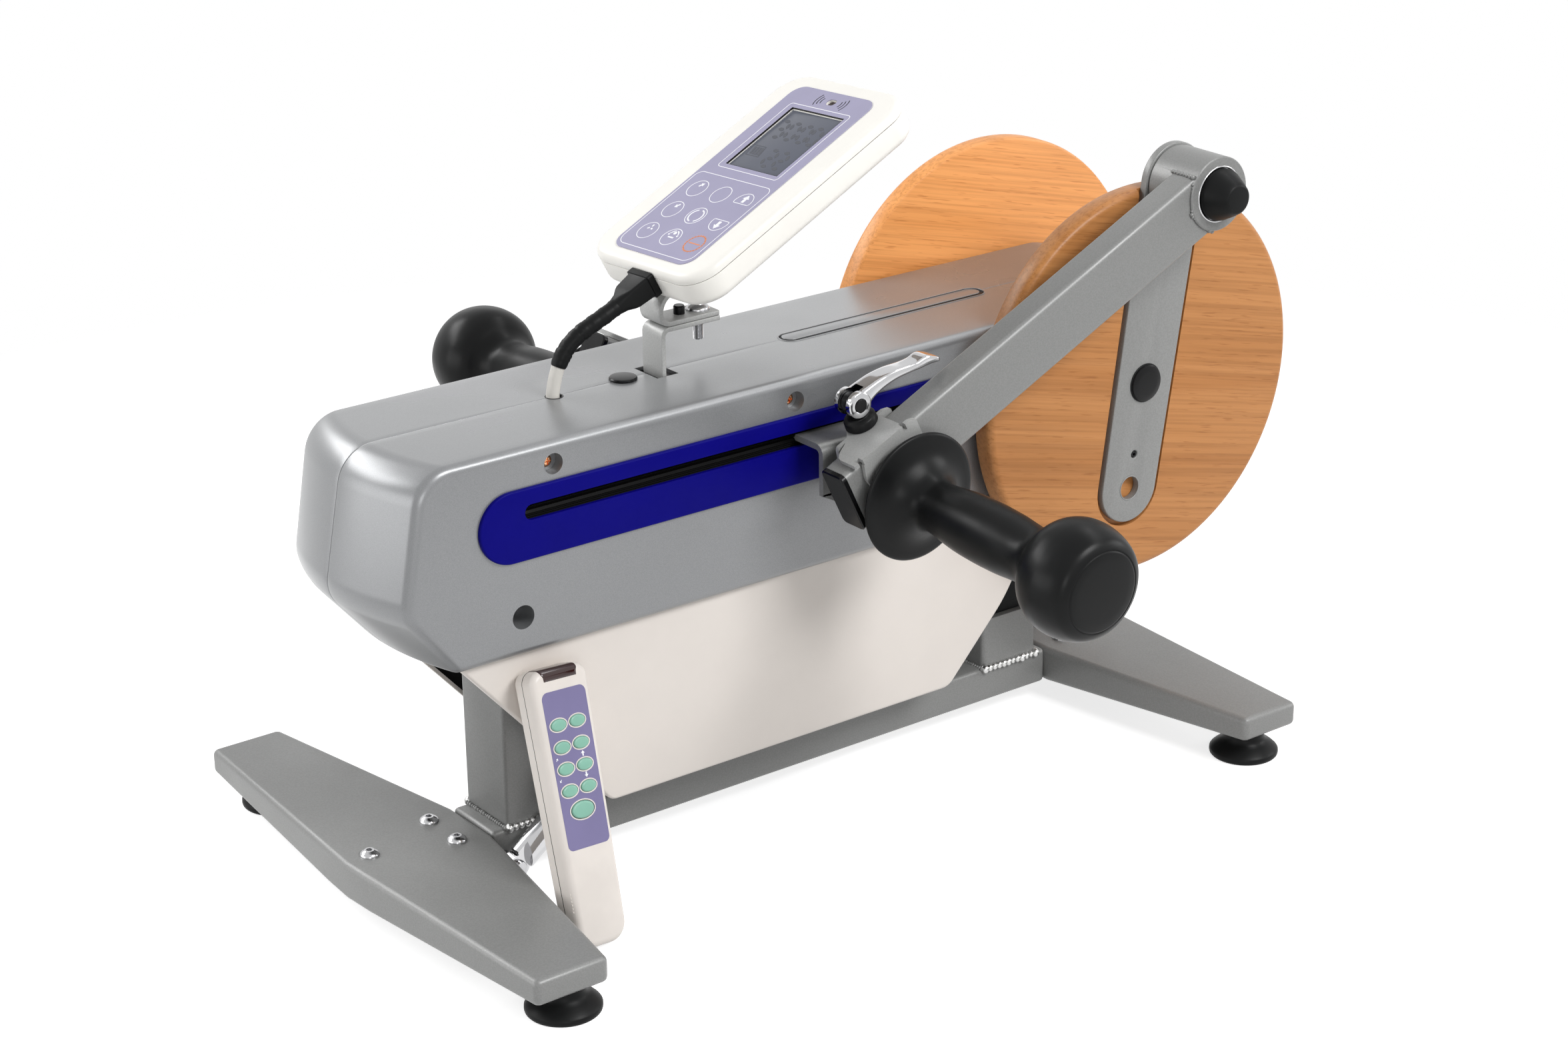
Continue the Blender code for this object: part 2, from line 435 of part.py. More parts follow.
# Arms, sliders, grips and levers
for side, s in (("near", -1), ("far", 1)):
    lean = rad(CRANK_LEAN)
    way = Vector((math.sin(lean), math.cos(lean))) * (-s)
    pin = Vector((CRANK_X, CRANK_Z)) + way * PIN_RADIUS
    pivot_x = pin.x - math.sqrt(LINK ** 2 - (pin.y - PIVOT_Z) ** 2)
    a = math.asin((pin.y - PIVOT_Z) / LINK) - math.asin(PIVOT_DROP / LINK)
    along = Vector((-math.cos(a), 0, -math.sin(a)))
    up = Vector((-math.sin(a), 0, math.cos(a)))

    def at(u, w, y, pin=pin, along=along, up=up, s=s):
        p = Vector((pin.x, 0, pin.y)) + along * u + up * w
        return Vector((p.x, s * y, p.z))

    def local(outline, y0, y1):
        return loft([[at(u, w, y) for u, w in outline] for y in (y0, y1)])

    reach = math.sqrt(LINK ** 2 - PIVOT_DROP ** 2)
    hub = (CRANK_X, 0, CRANK_Z)
    pivot = Vector((pivot_x, s * (ARM_IN - 18), PIVOT_Z))

    # Disc with the routed bed of its crank plate
    px = Vector((way.y, -way.x))

    def bed(extra, y0, y1, way=way, px=px, s=s):
        pts = []
        for c, sign, r in ((PIN_RADIUS, 1, 29.0), (-PLATE_HOLE, -1, PLATE_W / 2)):
            for k in range(9):
                t = math.pi * k / 8
                p = way * (c + sign * (r + extra) * math.sin(t)) + px * (sign * (r + extra) * math.cos(t))
                pts.append((CRANK_X + p.x, CRANK_Z + p.y))
        return loft([[(x, s * y, z) for x, z in pts] for y in (y0, y1)])

    face = DISC_FACE
    disc = turned([(face - DISC_T, DISC_R), (face - 4.5, DISC_R), (face - 1.4, DISC_R - 1.6),
                   (face, DISC_R - 5.5)], hub, (0, s, 0), 56)
    node(f"disc_{side}", WOOD, disc, origin=hub,
         cut=[bed(3.5, face - 4.3, face + 9), bar((CRANK_X, s * (face - 26), CRANK_Z), (CRANK_X, s * (face + 9), CRANK_Z), 12.8)])
    hole = Vector((CRANK_X, 0, CRANK_Z)) - Vector((way.x, 0, way.y)) * PLATE_HOLE
    node(f"crank_plate_{side}", GREY_PAINT, bed(0, face - 4, face - 4 + PLATE_T), origin=hub,
         cut=[bar((CRANK_X, s * (face - 11), CRANK_Z), (CRANK_X, s * (face + 9), CRANK_Z), 12.8),
              bar((hole.x, s * (face - 11), hole.z), (hole.x, s * (face + 9), hole.z), 9.0)])

    # Slider: carriage on the guide rod, tongue through the slot, drop plate with the pivot stud
    x0, x1 = pivot_x - 46, pivot_x + 26
    skin, tongue = ARM_IN - 14, RAIL_Y + 10
    bend = [(tongue, 299.5), (skin - 6.5, 299.5), (skin - 3.4, 298.6), (skin - 1.0, 296.4), (skin, 293), (skin, 262), (skin - 4.5, 262),
            (skin - 4.5, 292.5), (skin - 5.6, 294.2), (skin - 7.5, 295), (tongue, 295)]
    drop = [(x0, 263), (x0, 262), (pivot_x - 16, 247), (pivot_x + 16, 247), (x1, 262), (x1, 263)]
    node(f"slider_{side}", GREY_PAINT, prism([(s * y, z) for y, z in bend], "x", x0, x1), origin=pivot,
         add=[slab(x0, x1, *sorted((s * (RAIL_Y - 11.5), s * (RAIL_Y + 12))), 285, 309),
              prism(drop, "y", s * (skin - 4.5), s * skin),
              bar((pivot_x, s * (skin - 1), PIVOT_Z), (pivot_x, s * (skin + 8), PIVOT_Z), 15.0),
              bar((pivot_x, s * (skin + 7), PIVOT_Z), (pivot_x, s * (ARM_IN - 0.7), PIVOT_Z), 8.0)],
         cut=[bar((x0 - 5, s * RAIL_Y, RAIL_Z), (x1 + 5, s * RAIL_Y, RAIL_Z), RAIL_R + GAP, 12)])

    # Arm: a rectangular tube welded to the bearing tube
    h = ARM_H / 2
    arm = local([(0, -h), (ARM_END, -h), (ARM_END, h), (0, h)], ARM_IN, ARM_OUT)
    node(f"arm_{side}", GREY_PAINT, arm, origin=at(0, 0, 0), bevel=3.0,
         add=[bar(at(0, 0, EYE_IN), at(0, 0, EYE_END), EYE_R, 28)],
         cut=[bar(at(0, 0, EYE_IN - 9), at(0, 0, EYE_END + 6), EYE_BORE, 20),
              local([(40, -h + 2), (ARM_END + 5, -h + 2), (ARM_END + 5, h - 2), (40, h - 2)], ARM_IN + 2, ARM_OUT - 2)])
    node(f"arm_plug_{side}", BLACK, local([(ARM_END - 14, -h + 2.3), (ARM_END + 1, -h + 2.3), (ARM_END + 1, h - 2.3),
                                           (ARM_END - 14, h - 2.3)], ARM_IN + 2.3, ARM_OUT - 2.3), origin=at(0, 0, 0),
         add=[local([(ARM_END + 0.3, -h), (ARM_END + 4, -h), (ARM_END + 4, h), (ARM_END + 0.3, h)], ARM_IN, ARM_OUT)])
    node(f"crank_pin_{side}", BLACK,
         turned([(EYE_IN + GAP, EYE_BORE - 0.4), (EYE_END - 2.5, EYE_BORE - 0.4), (EYE_END - 2.5, 17), (EYE_END - 0.5, 17),
                 (EYE_END - 0.5, 19), (EYE_END + 3, 19.2), (EYE_END + 15, 13.5), (EYE_END + 20, 10.5)],
                at(0, 0, 0), (0, s, 0), 20), origin=at(0, 0, 0))

    # Sleeve: saddle over the tube with the lever's stud and the grip's spindle
    wall_out = ARM_OUT + 3.5
    deck = [(-15, ARM_IN - 14), (-15, wall_out), (32, wall_out), (32, ARM_IN + 13), (28, ARM_IN + 6), (19, ARM_IN + 1),
            (10, ARM_IN - 6), (5, ARM_IN - 14)]
    top = loft([[at(reach + u, w, y) for u, y in deck] for w in (h + 0.3, h + 3.5)])
    wing = [(reach + u, w) for u, w in ((-26, h + 1), (-20, h + 3.5), (24, h + 3.5), (28, 12), (23, -10), (18, -42), (-20, -42), (-26, -14))]
    droop = rad(GRIP_DROOP)
    axis = Vector((0, s * math.cos(droop), -math.sin(droop)))
    root = Vector((pivot_x, s * (wall_out + 1.5), PIVOT_Z))
    clamp = (reach - 3, h + 22.5)
    node(f"sleeve_{side}", GREY_PAINT, top, origin=pivot,
         add=[local(wing, ARM_OUT + GAP, wall_out), local(wing, ARM_IN - 3.4, ARM_IN - GAP),
              local([(reach - 20, -42), (reach + 18, -42), (reach + 18, -h - 0.6), (reach - 20, -h - 0.6)], ARM_IN - 2, ARM_OUT + 2),
              bar(root - axis * 4, root + axis * (GRIP_L - 12), 8.0, 12),
              bar(at(clamp[0], h + 2, LEVER_Y), at(clamp[0], clamp[1], LEVER_Y), 4.0, 10),
              bar(at(clamp[0], h + 3, LEVER_Y), at(clamp[0], h + 11, LEVER_Y), 11.5, 16),
              bar(at(*clamp, LEVER_Y - 4), at(*clamp, LEVER_Y + 4), 7.0, 16),
              bar(at(*clamp, LEVER_Y - 9.5), at(*clamp, LEVER_Y + 9.5), 5.0, 12)],
         cut=[bar((pivot_x, s * (ARM_IN - 8), PIVOT_Z), (pivot_x, s * (ARM_IN - GAP), PIVOT_Z), 8.3)])
    node(f"grip_{side}", BLACK,
         turned([(2.5, 44.5), (4, 46.8), (6, 46.2), (10, 32), (17, 22.5), (27, 18.4), (40, 19.4), (58, 21.6), (84, 22.4), (104, 21.8),
                 (122, 20.4), (131, 21.4), (137, 25), (143, 31.5), (151, 37.6), (161, 40.8), (170, 41.1), (180, 39.3), (188, 36),
                 (GRIP_L - 1.6, 31), (GRIP_L, 27)], root, axis, 22), origin=root,
         cut=[turned([(0, 8.3), (GRIP_L - 10, 8.3)], root, axis, 12)])

    # Cam lever: fork around the stud's eye, handle curving back along the arm
    hinge = at(*clamp, LEVER_Y)
    spine = [(0, 9.0), (-10, 8.8), (-22, 8.2), (-36, 7.6), (-50, 7.2), (-62, 7.0), (-72, 7.4)]
    heights = [0, 2.5, 3.5, 2.2, -1.5, -6.0, -7.5]
    deep = [7.8, 6.0, 4.6, 3.6, 3.0, 2.8, 2.6]
    blade = loft([[at(clamp[0] + u, clamp[1] + z + k * t, y) for y, k in ((LEVER_Y - w, -1), (LEVER_Y + w, -1), (LEVER_Y + w, 1), (LEVER_Y - w, 1))]
                  for (u, w), z, t in zip(spine, heights, deep)])
    node(f"lever_{side}", STEEL, blade, origin=hinge,
         add=[bar(at(*clamp, LEVER_Y - 9), at(*clamp, LEVER_Y + 9), 9.5, 18)],
         cut=[bar(at(*clamp, LEVER_Y - 20), at(*clamp, LEVER_Y + 20), 5.3, 12),
              local([(clamp[0] - 10.5, clamp[1] - 14), (clamp[0] + 14, clamp[1] - 14), (clamp[0] + 14, clamp[1] + 14),
                     (clamp[0] - 10.5, clamp[1] + 14)], LEVER_Y - 4.4, LEVER_Y + 4.4)])

# Remote: a slim case with nine rubber keys
ry, rl, rr = rad(REMOTE_YAW), rad(REMOTE_LEAN), rad(REMOTE_ROLL)
r1, n0 = Vector((math.cos(ry), math.sin(ry), 0)), Vector((math.sin(ry), -math.cos(ry), 0))
r2, r3 = Vector((0, 0, 1)) * math.cos(rl) - n0 * math.sin(rl), n0 * math.cos(rl) + Vector((0, 0, 1)) * math.sin(rl)
r1, r2 = r1 * math.cos(rr) + r2 * math.sin(rr), r2 * math.cos(rr) - r1 * math.sin(rr)
remote = holder("remote_frame", placed(REMOTE_AT, r1, r2, r3))
KEYS = [("p", -8.6, 31.9), ("scan", 7.4, 31.9), ("raise", -8.6, 16.6), ("fast", 7.4, 16.8), ("lower", -8.6, 1.9),
        ("slow", 7.4, 1.9), ("active", -8.6, -13.1), ("passive", 7.4, -12.9), ("start", -0.6, -27.4)]


def oval(profile, name, x, y):
    """A turned button shape squashed to an oval; the start key is half as large again."""
    k = 1.45 if name == "start" else 1.0
    bm = turned([(t, r * k) for t, r in profile], (0, 0, 0), (0, 0, 1), 14)
    bmesh.ops.transform(bm, matrix=Matrix.Translation((x, y, 0)) @ Matrix.Diagonal((1.0, 0.63, 1.0, 1.0)), verts=bm.verts)
    return closed(bm)


remote_line = [(-20.5, -121, 14), (20.5, -121, 14), (24.0, 70, 9), (-24.0, 70, 9)]
node("remote_case", CREAM, cushioned(remote_line, "z", -22, 0, 4.0, seg=3, round_lo=3.0), parent=remote,
     cut=[oval([(-2.4, 6.9), (2, 6.9)], *key) for key in KEYS])
for key in KEYS:
    node(f"key_{key[0]}", GREEN, oval([(-1.2, 6.4), (0.7, 6.4), (1.4, 5.4)], *key), parent=remote)
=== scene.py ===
"""Looks of the hand therapy machine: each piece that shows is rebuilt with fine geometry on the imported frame.

Sizes are in millimetres in the row frame and are scaled once, in raw()."""

import json
from math import acos, asin, atan2, copysign, cos, pi, radians as rad, sin, sqrt, tan

import bmesh
import bpy
from mathutils import Matrix, Vector

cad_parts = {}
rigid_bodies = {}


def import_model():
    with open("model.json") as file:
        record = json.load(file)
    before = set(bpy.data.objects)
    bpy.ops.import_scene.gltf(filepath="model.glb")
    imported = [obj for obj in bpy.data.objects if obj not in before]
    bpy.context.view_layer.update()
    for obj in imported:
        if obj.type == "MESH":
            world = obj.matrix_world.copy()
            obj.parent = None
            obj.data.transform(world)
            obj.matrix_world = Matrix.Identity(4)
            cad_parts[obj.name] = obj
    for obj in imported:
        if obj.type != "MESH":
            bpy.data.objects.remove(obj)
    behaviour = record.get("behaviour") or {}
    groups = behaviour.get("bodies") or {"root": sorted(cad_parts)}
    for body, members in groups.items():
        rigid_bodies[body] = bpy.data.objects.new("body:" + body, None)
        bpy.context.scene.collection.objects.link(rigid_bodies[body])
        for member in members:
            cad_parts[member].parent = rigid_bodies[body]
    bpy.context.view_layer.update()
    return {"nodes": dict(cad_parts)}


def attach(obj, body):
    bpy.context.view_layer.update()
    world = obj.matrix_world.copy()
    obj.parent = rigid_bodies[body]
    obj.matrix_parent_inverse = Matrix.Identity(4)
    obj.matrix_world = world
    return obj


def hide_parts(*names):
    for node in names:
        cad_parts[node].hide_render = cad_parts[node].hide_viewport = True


for thing in list(bpy.data.objects):
    bpy.data.objects.remove(thing, do_unlink=True)
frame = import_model()
scene = bpy.context.scene
MM = 0.001


def rolled(x, y, angle):
    """Two directions, turned about the one that they both stand across."""
    return x * cos(angle) + y * sin(angle), y * cos(angle) - x * sin(angle)


def placed(at, x, y, z):
    m = Matrix((x, y, z)).transposed().to_4x4()
    m.translation = Vector(at)
    return m


# Camera: a 73 mm lens at the photograph's viewing angle

AZIMUTH, ELEVATION, ROLL = rad(-36.9), rad(21.6), rad(-0.7)
PHOTO_W, FOCAL_PX, SHIFT_PX = 2352, 4795.8, (-3.6, -2)
AIM, DISTANCE, ASIDE, RAISED = Vector((-18, 0, 180)), 2345.2, 2.1, 19.8


def make_camera():
    back = Vector((sin(AZIMUTH) * cos(ELEVATION), -cos(AZIMUTH) * cos(ELEVATION), sin(ELEVATION)))
    right = Vector((cos(AZIMUTH), sin(AZIMUTH), 0))
    up = back.cross(right)
    stand = (AIM + back * DISTANCE + right * ASIDE + up * RAISED) * MM
    cam = bpy.data.cameras.new("camera")
    ob = bpy.data.objects.new("camera", cam)
    scene.collection.objects.link(ob)
    ob.matrix_world = placed(stand, *rolled(right, up, ROLL), back)
    cam.sensor_width, cam.lens = 36, FOCAL_PX / PHOTO_W * 36
    cam.shift_x, cam.shift_y = (px / PHOTO_W for px in SHIFT_PX)
    cam.clip_start, cam.clip_end = 0.05, 50
    scene.camera = ob


make_camera()


# Materials

class Nodes:
    """A Principled material that is built up by name."""

    def __init__(self, name, colour, rough, metal=0, **more):
        self.m = bpy.data.materials.new(name)
        self.m.use_nodes = True
        self.t = self.m.node_tree
        self.b = self.t.nodes["Principled BSDF"]
        self.colour, self.rough = colour, rough
        self.set("Base Color", (*colour, 1))
        self.set("Roughness", rough)
        self.set("Metallic", metal)
        for key, value in more.items():
            self.set(key.replace("_", " "), value)

    def set(self, key, value):
        self.b.inputs[key].default_value = value

    def add(self, kind, **values):
        n = self.t.nodes.new(kind)
        for key, value in values.items():
            if hasattr(n, key):
                setattr(n, key, value)
            else:
                n.inputs[key.replace("_", " ")].default_value = value
        return n

    def link(self, a, b):
        self.t.links.new(a, b)

    def noise(self, scale, detail=3):
        n = self.add("ShaderNodeTexNoise", Scale=scale, Detail=detail, Roughness=0.5)
        self.link(self.add("ShaderNodeTexCoord").outputs["Object"], n.inputs["Vector"])
        return n.outputs["Fac"]

    def ramp(self, source, stops):
        r = self.add("ShaderNodeValToRGB")
        e = r.color_ramp.elements
        while len(e) < len(stops):
            e.new(0.5)
        for el, (at, c) in zip(e, stops):
            el.position = at
            el.color = (*c, 1)
        self.link(source, r.inputs["Fac"])
        return r.outputs["Color"]

    def mottle(self, scale, amount, detail=3):
        """Colour varies a little about its base value."""
        low, high = ([x * k for x in self.colour] for k in (1 - amount, 1 + amount))
        colour = self.ramp(self.noise(scale, detail), [(0.35, low), (0.65, high)])
        self.link(colour, self.b.inputs["Base Color"])
        return self

    def roughen(self, scale, amount):
        """Roughness varies a little about its base value."""
        low, high = ([x] * 3 for x in (max(0, self.rough - amount), min(1, self.rough + amount)))
        rough = self.ramp(self.noise(scale), [(0.3, low), (0.7, high)])
        self.link(rough, self.b.inputs["Roughness"])
        return self

    def bump(self, source, strength, depth):
        n = self.add("ShaderNodeBump", Strength=strength, Distance=depth)
        self.link(source, n.inputs["Height"])
        self.link(n.outputs["Normal"], self.b.inputs["Normal"])
        return self


def grey_paint(name="grey_paint", k=1):
    n = Nodes(name, (0.222 * k, 0.224 * k, 0.220 * k), 0.40, 0.12)
    n.mottle(900, 0.07, 2).roughen(14, 0.06)
    return n.bump(n.noise(1400, 2), 0.22, 0.0002).m


def silver_paint():
    n = Nodes("silver_paint", (0.226, 0.231, 0.238), 0.30, 0.32, Coat_Weight=0.40, Coat_Roughness=0.32)
    n.mottle(2600, 0.10, 1).roughen(9, 0.05)
    return n.bump(n.noise(1900, 2), 0.10, 0.0001).m


def plastic(name, colour, rough, grain=0.15, scale=1500, vary=0.03, shine=0.5, **more):
    n = Nodes(name, colour, rough, Specular_IOR_Level=shine, **more)
    n.mottle(40, vary, 4).roughen(60, 0.05)
    return n.bump(n.noise(scale, 2), grain, 0.0001).m


def chrome(name="chrome", rough=0.10, colour=(0.56, 0.56, 0.57)):
    n = Nodes(name, colour, rough, 1)
    n.mottle(12, 0.03).roughen(90, 0.04)
    return n.bump(n.noise(260, 2), 0.03, 0.0001).m


def beech(name, seed, k):
    """Oiled beech: broad tones, fine grain lines and short dark flecks, all drawn out along the grain; k scales
    the broad tones, darker as painted shade on the near disc and lighter as painted light on the far one.
    """
    n = Nodes(name, (0.60, 0.25, 0.08), 0.38, Specular_IOR_Level=0.22, Coat_Weight=0.06, Coat_Roughness=0.18)
    grain = n.add("ShaderNodeMapping", Location=(seed, seed * 0.7, seed * 1.3), Rotation=(0, rad(-14), 0))
    n.link(n.add("ShaderNodeTexCoord").outputs["Object"], grain.inputs["Vector"])

    def stretched(scale, stretch, detail, rough=0.55, warp=0):
        m = n.add("ShaderNodeMapping", Scale=stretch)
        n.link(grain.outputs["Vector"], m.inputs["Vector"])
        t = n.add("ShaderNodeTexNoise", Scale=scale, Detail=detail, Roughness=rough, Distortion=warp)
        n.link(m.outputs["Vector"], t.inputs["Vector"])
        return t.outputs["Fac"]

    def darkened(a, b):
        x = n.add("ShaderNodeMix", data_type="RGBA", blend_type="MULTIPLY")
        x.inputs["Factor"].default_value = 0.60
        n.link(a, x.inputs["A"])
        n.link(b, x.inputs["B"])
        return x.outputs["Result"]

    tones = ((0.30, (0.65, 0.275, 0.085)), (0.48, (0.73, 0.325, 0.110)),
             (0.62, (0.62, 0.258, 0.078)), (0.75, (0.69, 0.300, 0.097)))
    # k darkens or lightens the tones: painted shade on the near disc, painted light on the far one
    tones = [(at, [k * c for c in tone]) for at, tone in tones]
    lines = ((0.34, (0.75, 0.715, 0.68)), (0.58, (1.07, 1.07, 1.07)))
    specks = ((0.61, (1, 1, 1)), (0.70, (0.66, 0.56, 0.48)))
    broad = n.ramp(stretched(11, (0.10, 1, 2.2), 5, warp=0.6), tones)
    fine = n.ramp(stretched(320, (0.016, 1, 1.2), 3), lines)
    flecks = n.ramp(stretched(760, (0.060, 1, 1), 2, 0.4), specks)
    n.link(darkened(darkened(broad, fine), flecks), n.b.inputs["Base Color"])
    return n.bump(stretched(300, (0.06, 1, 1), 2), 0.08, 0.0001).m


GREY = grey_paint()
PLATE = grey_paint("plate_paint", 1.08)
CAST = grey_paint("cast_alloy", 0.8)
SADDLE = grey_paint("saddle_paint", 1.6)
BRACKET = grey_paint("bracket_paint", 1.9)
SILVER = silver_paint()
BLUE = plastic("blue_plastic", (0.0035, 0.0025, 0.175), 0.38, 0.08, 1200, shine=0.05)
CREAM = plastic("cream_plastic", (0.76, 0.710, 0.665), 0.42, 0.10, vary=0.008, shine=0.3)
WHITE = plastic("white_plastic", (0.87, 0.852, 0.805), 0.38, 0.10, vary=0.01, shine=0.35)
REMOTE = plastic("remote_plastic", (0.75, 0.70, 0.655), 0.34, 0.08, shine=0.35)
BLACK = plastic("black_rubber", (0.0065, 0.0068, 0.007), 0.42, 0.20, 900, shine=0.12)
GRIP = plastic("grip_rubber", (0.0060, 0.0063, 0.0065), 0.34, 0.12, 1100, shine=0.13)
BLACK_GLOSS = plastic("black_plastic", (0.005, 0.005, 0.0055), 0.22, 0.03, shine=0.18)
CHROME = chrome()
SATIN = chrome("bright_steel", 0.20, (0.50, 0.50, 0.51))
STEEL = chrome("turned_steel", 0.30, (0.55, 0.55, 0.56))
COPPER = chrome("copper_plate", 0.25, (0.75, 0.40, 0.22))
WELD = chrome("weld", 0.30, (0.60, 0.60, 0.59))
DARK = plastic("dark_steel", (0.010, 0.0105, 0.011), 0.45, 0.2, 700, shine=0.12)
LAVENDER = plastic("lavender_film", (0.335, 0.320, 0.455), 0.34, 0.05, 2500, 0.02, 0.25)
PURPLE = plastic("purple_film", (0.185, 0.165, 0.32), 0.35, 0.08, 2500)
PRINT = plastic("white_print", (0.86, 0.86, 0.90), 0.35, 0)
ORANGE = plastic("orange_print", (0.75, 0.24, 0.07), 0.35, 0)
LCD = plastic("lcd_glass", (0.100, 0.109, 0.140), 0.20, 0.02, 900, 0.02, 0.25)
SEGMENT = plastic("lcd_segment", (0.045, 0.05, 0.068), 0.2, 0)
MINT = plastic("green_rubber", (0.22, 0.46, 0.36), 0.38, 0.12, 1800)
WINDOW = plastic("red_window", (0.026, 0.004, 0.003), 0.12, 0, Coat_Weight=0.4, Coat_Roughness=0.06)
BRUSH = plastic("lip_rubber", (0.003, 0.003, 0.003), 0.30, 0.15, 500, shine=0.03)
# A dark sheet behind each slot: painted shade for the shaded inside of the casing
SLOT_SHADE = plastic("dark_inside", (0.012, 0.007, 0.005), 0.6, 0.3, 300, shine=0.2)
BOARD = plastic("circuit_board", (0.02, 0.13, 0.05), 0.4, 0.2, 600)
LEAD = plastic("lead_grey", (0.60, 0.58, 0.54), 0.45, 0.08)
# Both discs are the same beech: the near one is darker as painted shade, the far one lighter as painted light
LIT_AND_SHADED_BEECH = {"near": beech("beech_near", 0.31, 0.69), "far": beech("beech_far", 2.17, 1.14)}

# Which slot goes with each material, for a piece that stands for no CAD node
SLOTS = {"grey_paint": (GREY, PLATE, WELD), "silver_paint": (SILVER,), "chrome": (CHROME,),
         "steel": (SATIN, COPPER, DARK), "black_plastic": (BLACK_GLOSS, BLACK),
         "black_rubber": (BRUSH, SLOT_SHADE), "cream_plastic": (WHITE, REMOTE, LEAD),
         "overlay": (PRINT, ORANGE, PURPLE), "lcd": (WINDOW, SEGMENT)}
SLOT_OF = {material.name: slot for slot, materials in SLOTS.items() for material in materials}


# Shapes, in millimetres

def closed(bm):
    bmesh.ops.recalc_face_normals(bm, faces=bm.faces)
    return bm


def loft(rings):
    """A closed skin over rings with as many points each."""
    bm = bmesh.new()
    rows = [[bm.verts.new(p) for p in ring] for ring in rings]
    n = len(rows[0])
    for a, b in zip(rows, rows[1:]):
        for i in range(n):
            bm.faces.new((a[i], a[(i + 1) % n], b[(i + 1) % n], b[i]))
    bm.faces.new(rows[0])
    bm.faces.new(list(reversed(rows[-1])))
    return closed(bm)


def lay(axis, t, u, v):
    return {"x": (t, u, v), "y": (u, t, v), "z": (u, v, t)}[axis]


def prism(outline, axis, lo, hi):
    return loft([[lay(axis, t, u, v) for u, v in outline] for t in (lo, hi)])


def slab(x0, x1, y0, y1, z0, z1):
    return prism([(x0, z0), (x1, z0), (x1, z1), (x0, z1)], "y", min(y0, y1), max(y0, y1))


def corners(u0, u1, v0, v1, r):
    return [(u0, v0, r), (u1, v0, r), (u1, v1, r), (u0, v1, r)]


def filleted(points, inset=0, seg=10):
    """A convex outline from (u, v, radius) corners, moved inward by inset with its arc centres kept."""
    pts, n = [], len(points)
    for i, (u, v, r) in enumerate(points):
        p, q, s = (Vector(points[j % n][:2]) for j in (i - 1, i, i + 1))
        a, b = (p - q).normalized(), (s - q).normalized()
        half = acos(max(-1, min(1, a.dot(b)))) / 2
        mid = (a + b).normalized()
        r = max(r, 0.01)
        c = q + mid * (r / sin(half))
        r2 = r - inset
        if r2 <= 0.01:
            pts += [tuple(c + mid * ((inset - r) / sin(half)) + mid * 1e-3 * k) for k in range(seg + 1)]
            continue
        f0 = q + a * (r / tan(half)) - c
        f1 = q + b * (r / tan(half)) - c
        a0, a1 = atan2(f0.y, f0.x), atan2(f1.y, f1.x)
        d = (a1 - a0 + pi) % (2 * pi) - pi
        for k in range(seg + 1):
            t = a0 + d * k / seg
            pts.append((c.x + r2 * cos(t), c.y + r2 * sin(t)))
    return pts


def quarter(steps):
    """Angles from nought to a right angle."""
    return [pi / 2 * k / steps for k in range(steps + 1)]


def cushioned(points, axis, lo, hi, round_hi, seg=10, steps=6, round_lo=0):
    """A prism whose hi end, and lo end if asked, is rounded over."""
    s = 1 if hi > lo else -1
    rings = [(lo, 0)]
    if round_lo:
        rings = [(lo + s * round_lo * (1 - cos(t)), round_lo * (1 - sin(t))) for t in quarter(steps)]
    rings += [(hi - s * round_hi * (1 - sin(t)), round_hi * (1 - cos(t))) for t in quarter(steps)]
    return loft([[lay(axis, t, u, v) for u, v in filleted(points, inset, seg)] for t, inset in rings])


def frame_of(direction):
    w = Vector(direction).normalized()
    u = w.orthogonal().normalized()
    return u, w.cross(u), w


def spokes(u, v, n):
    """The n directions round the axis that u and v stand across."""
    return [u * cos(2 * pi * k / n) + v * sin(2 * pi * k / n) for k in range(n)]


def turned(profile, at, direction, n=64):
    """A solid of revolution from (distance, radius) pairs along a direction."""
    u, v, w = frame_of(direction)
    round_it = spokes(u, v, n)
    bm = bmesh.new()
    rows = []
    for t, r in profile:
        c = Vector(at) + w * t
        rows.append([bm.verts.new(c)] if r < 1e-6 else [bm.verts.new(c + o * r) for o in round_it])
    for a, b in zip(rows, rows[1:]):
        for i in range(n):
            j = (i + 1) % n
            if len(a) == 1:
                bm.faces.new((a[0], b[j], b[i]))
            elif len(b) == 1:
                bm.faces.new((a[i], a[j], b[0]))
            else:
                bm.faces.new((a[i], a[j], b[j], b[i]))
    for row in (rows[0], rows[-1]):
        if len(row) > 1:
            bm.faces.new(row)
    return closed(bm)


def bar(p, q, r, n=40):
    p, q = Vector(p), Vector(q)
    return turned([(0, r), ((q - p).length, r)], p, q - p, n)


def ring(at, direction, big, small, n=48, m=12):
    """A torus round an axis: big is the ring's radius, small its section's."""
    u, v, w = frame_of(direction)
    bm = bmesh.new()
    section = [2 * pi * j / m for j in range(m)]
    rows = [[bm.verts.new(Vector(at) + o * (big + small * cos(t)) + w * small * sin(t)) for t in section]
            for o in spokes(u, v, n)]
    for k in range(n):
        a, b = rows[k], rows[(k + 1) % n]
        for j in range(m):
            bm.faces.new((a[j], a[(j + 1) % m], b[(j + 1) % m], b[j]))
    return closed(bm)


def headings(path):
    """The direction of a path at each of its points."""
    last = len(path) - 1
    return [(path[min(i + 1, last)] - path[max(i - 1, 0)]).normalized() for i in range(last + 1)]


def swept(path, radii, n=20):
    rings, up = [], None
    for p, w, r in zip(path, headings(path), radii):
        up = w.orthogonal().normalized() if up is None else (up - w * up.dot(w)).normalized()
        rings.append([p + o * r for o in spokes(up, w.cross(up), n)])
    return loft(rings)


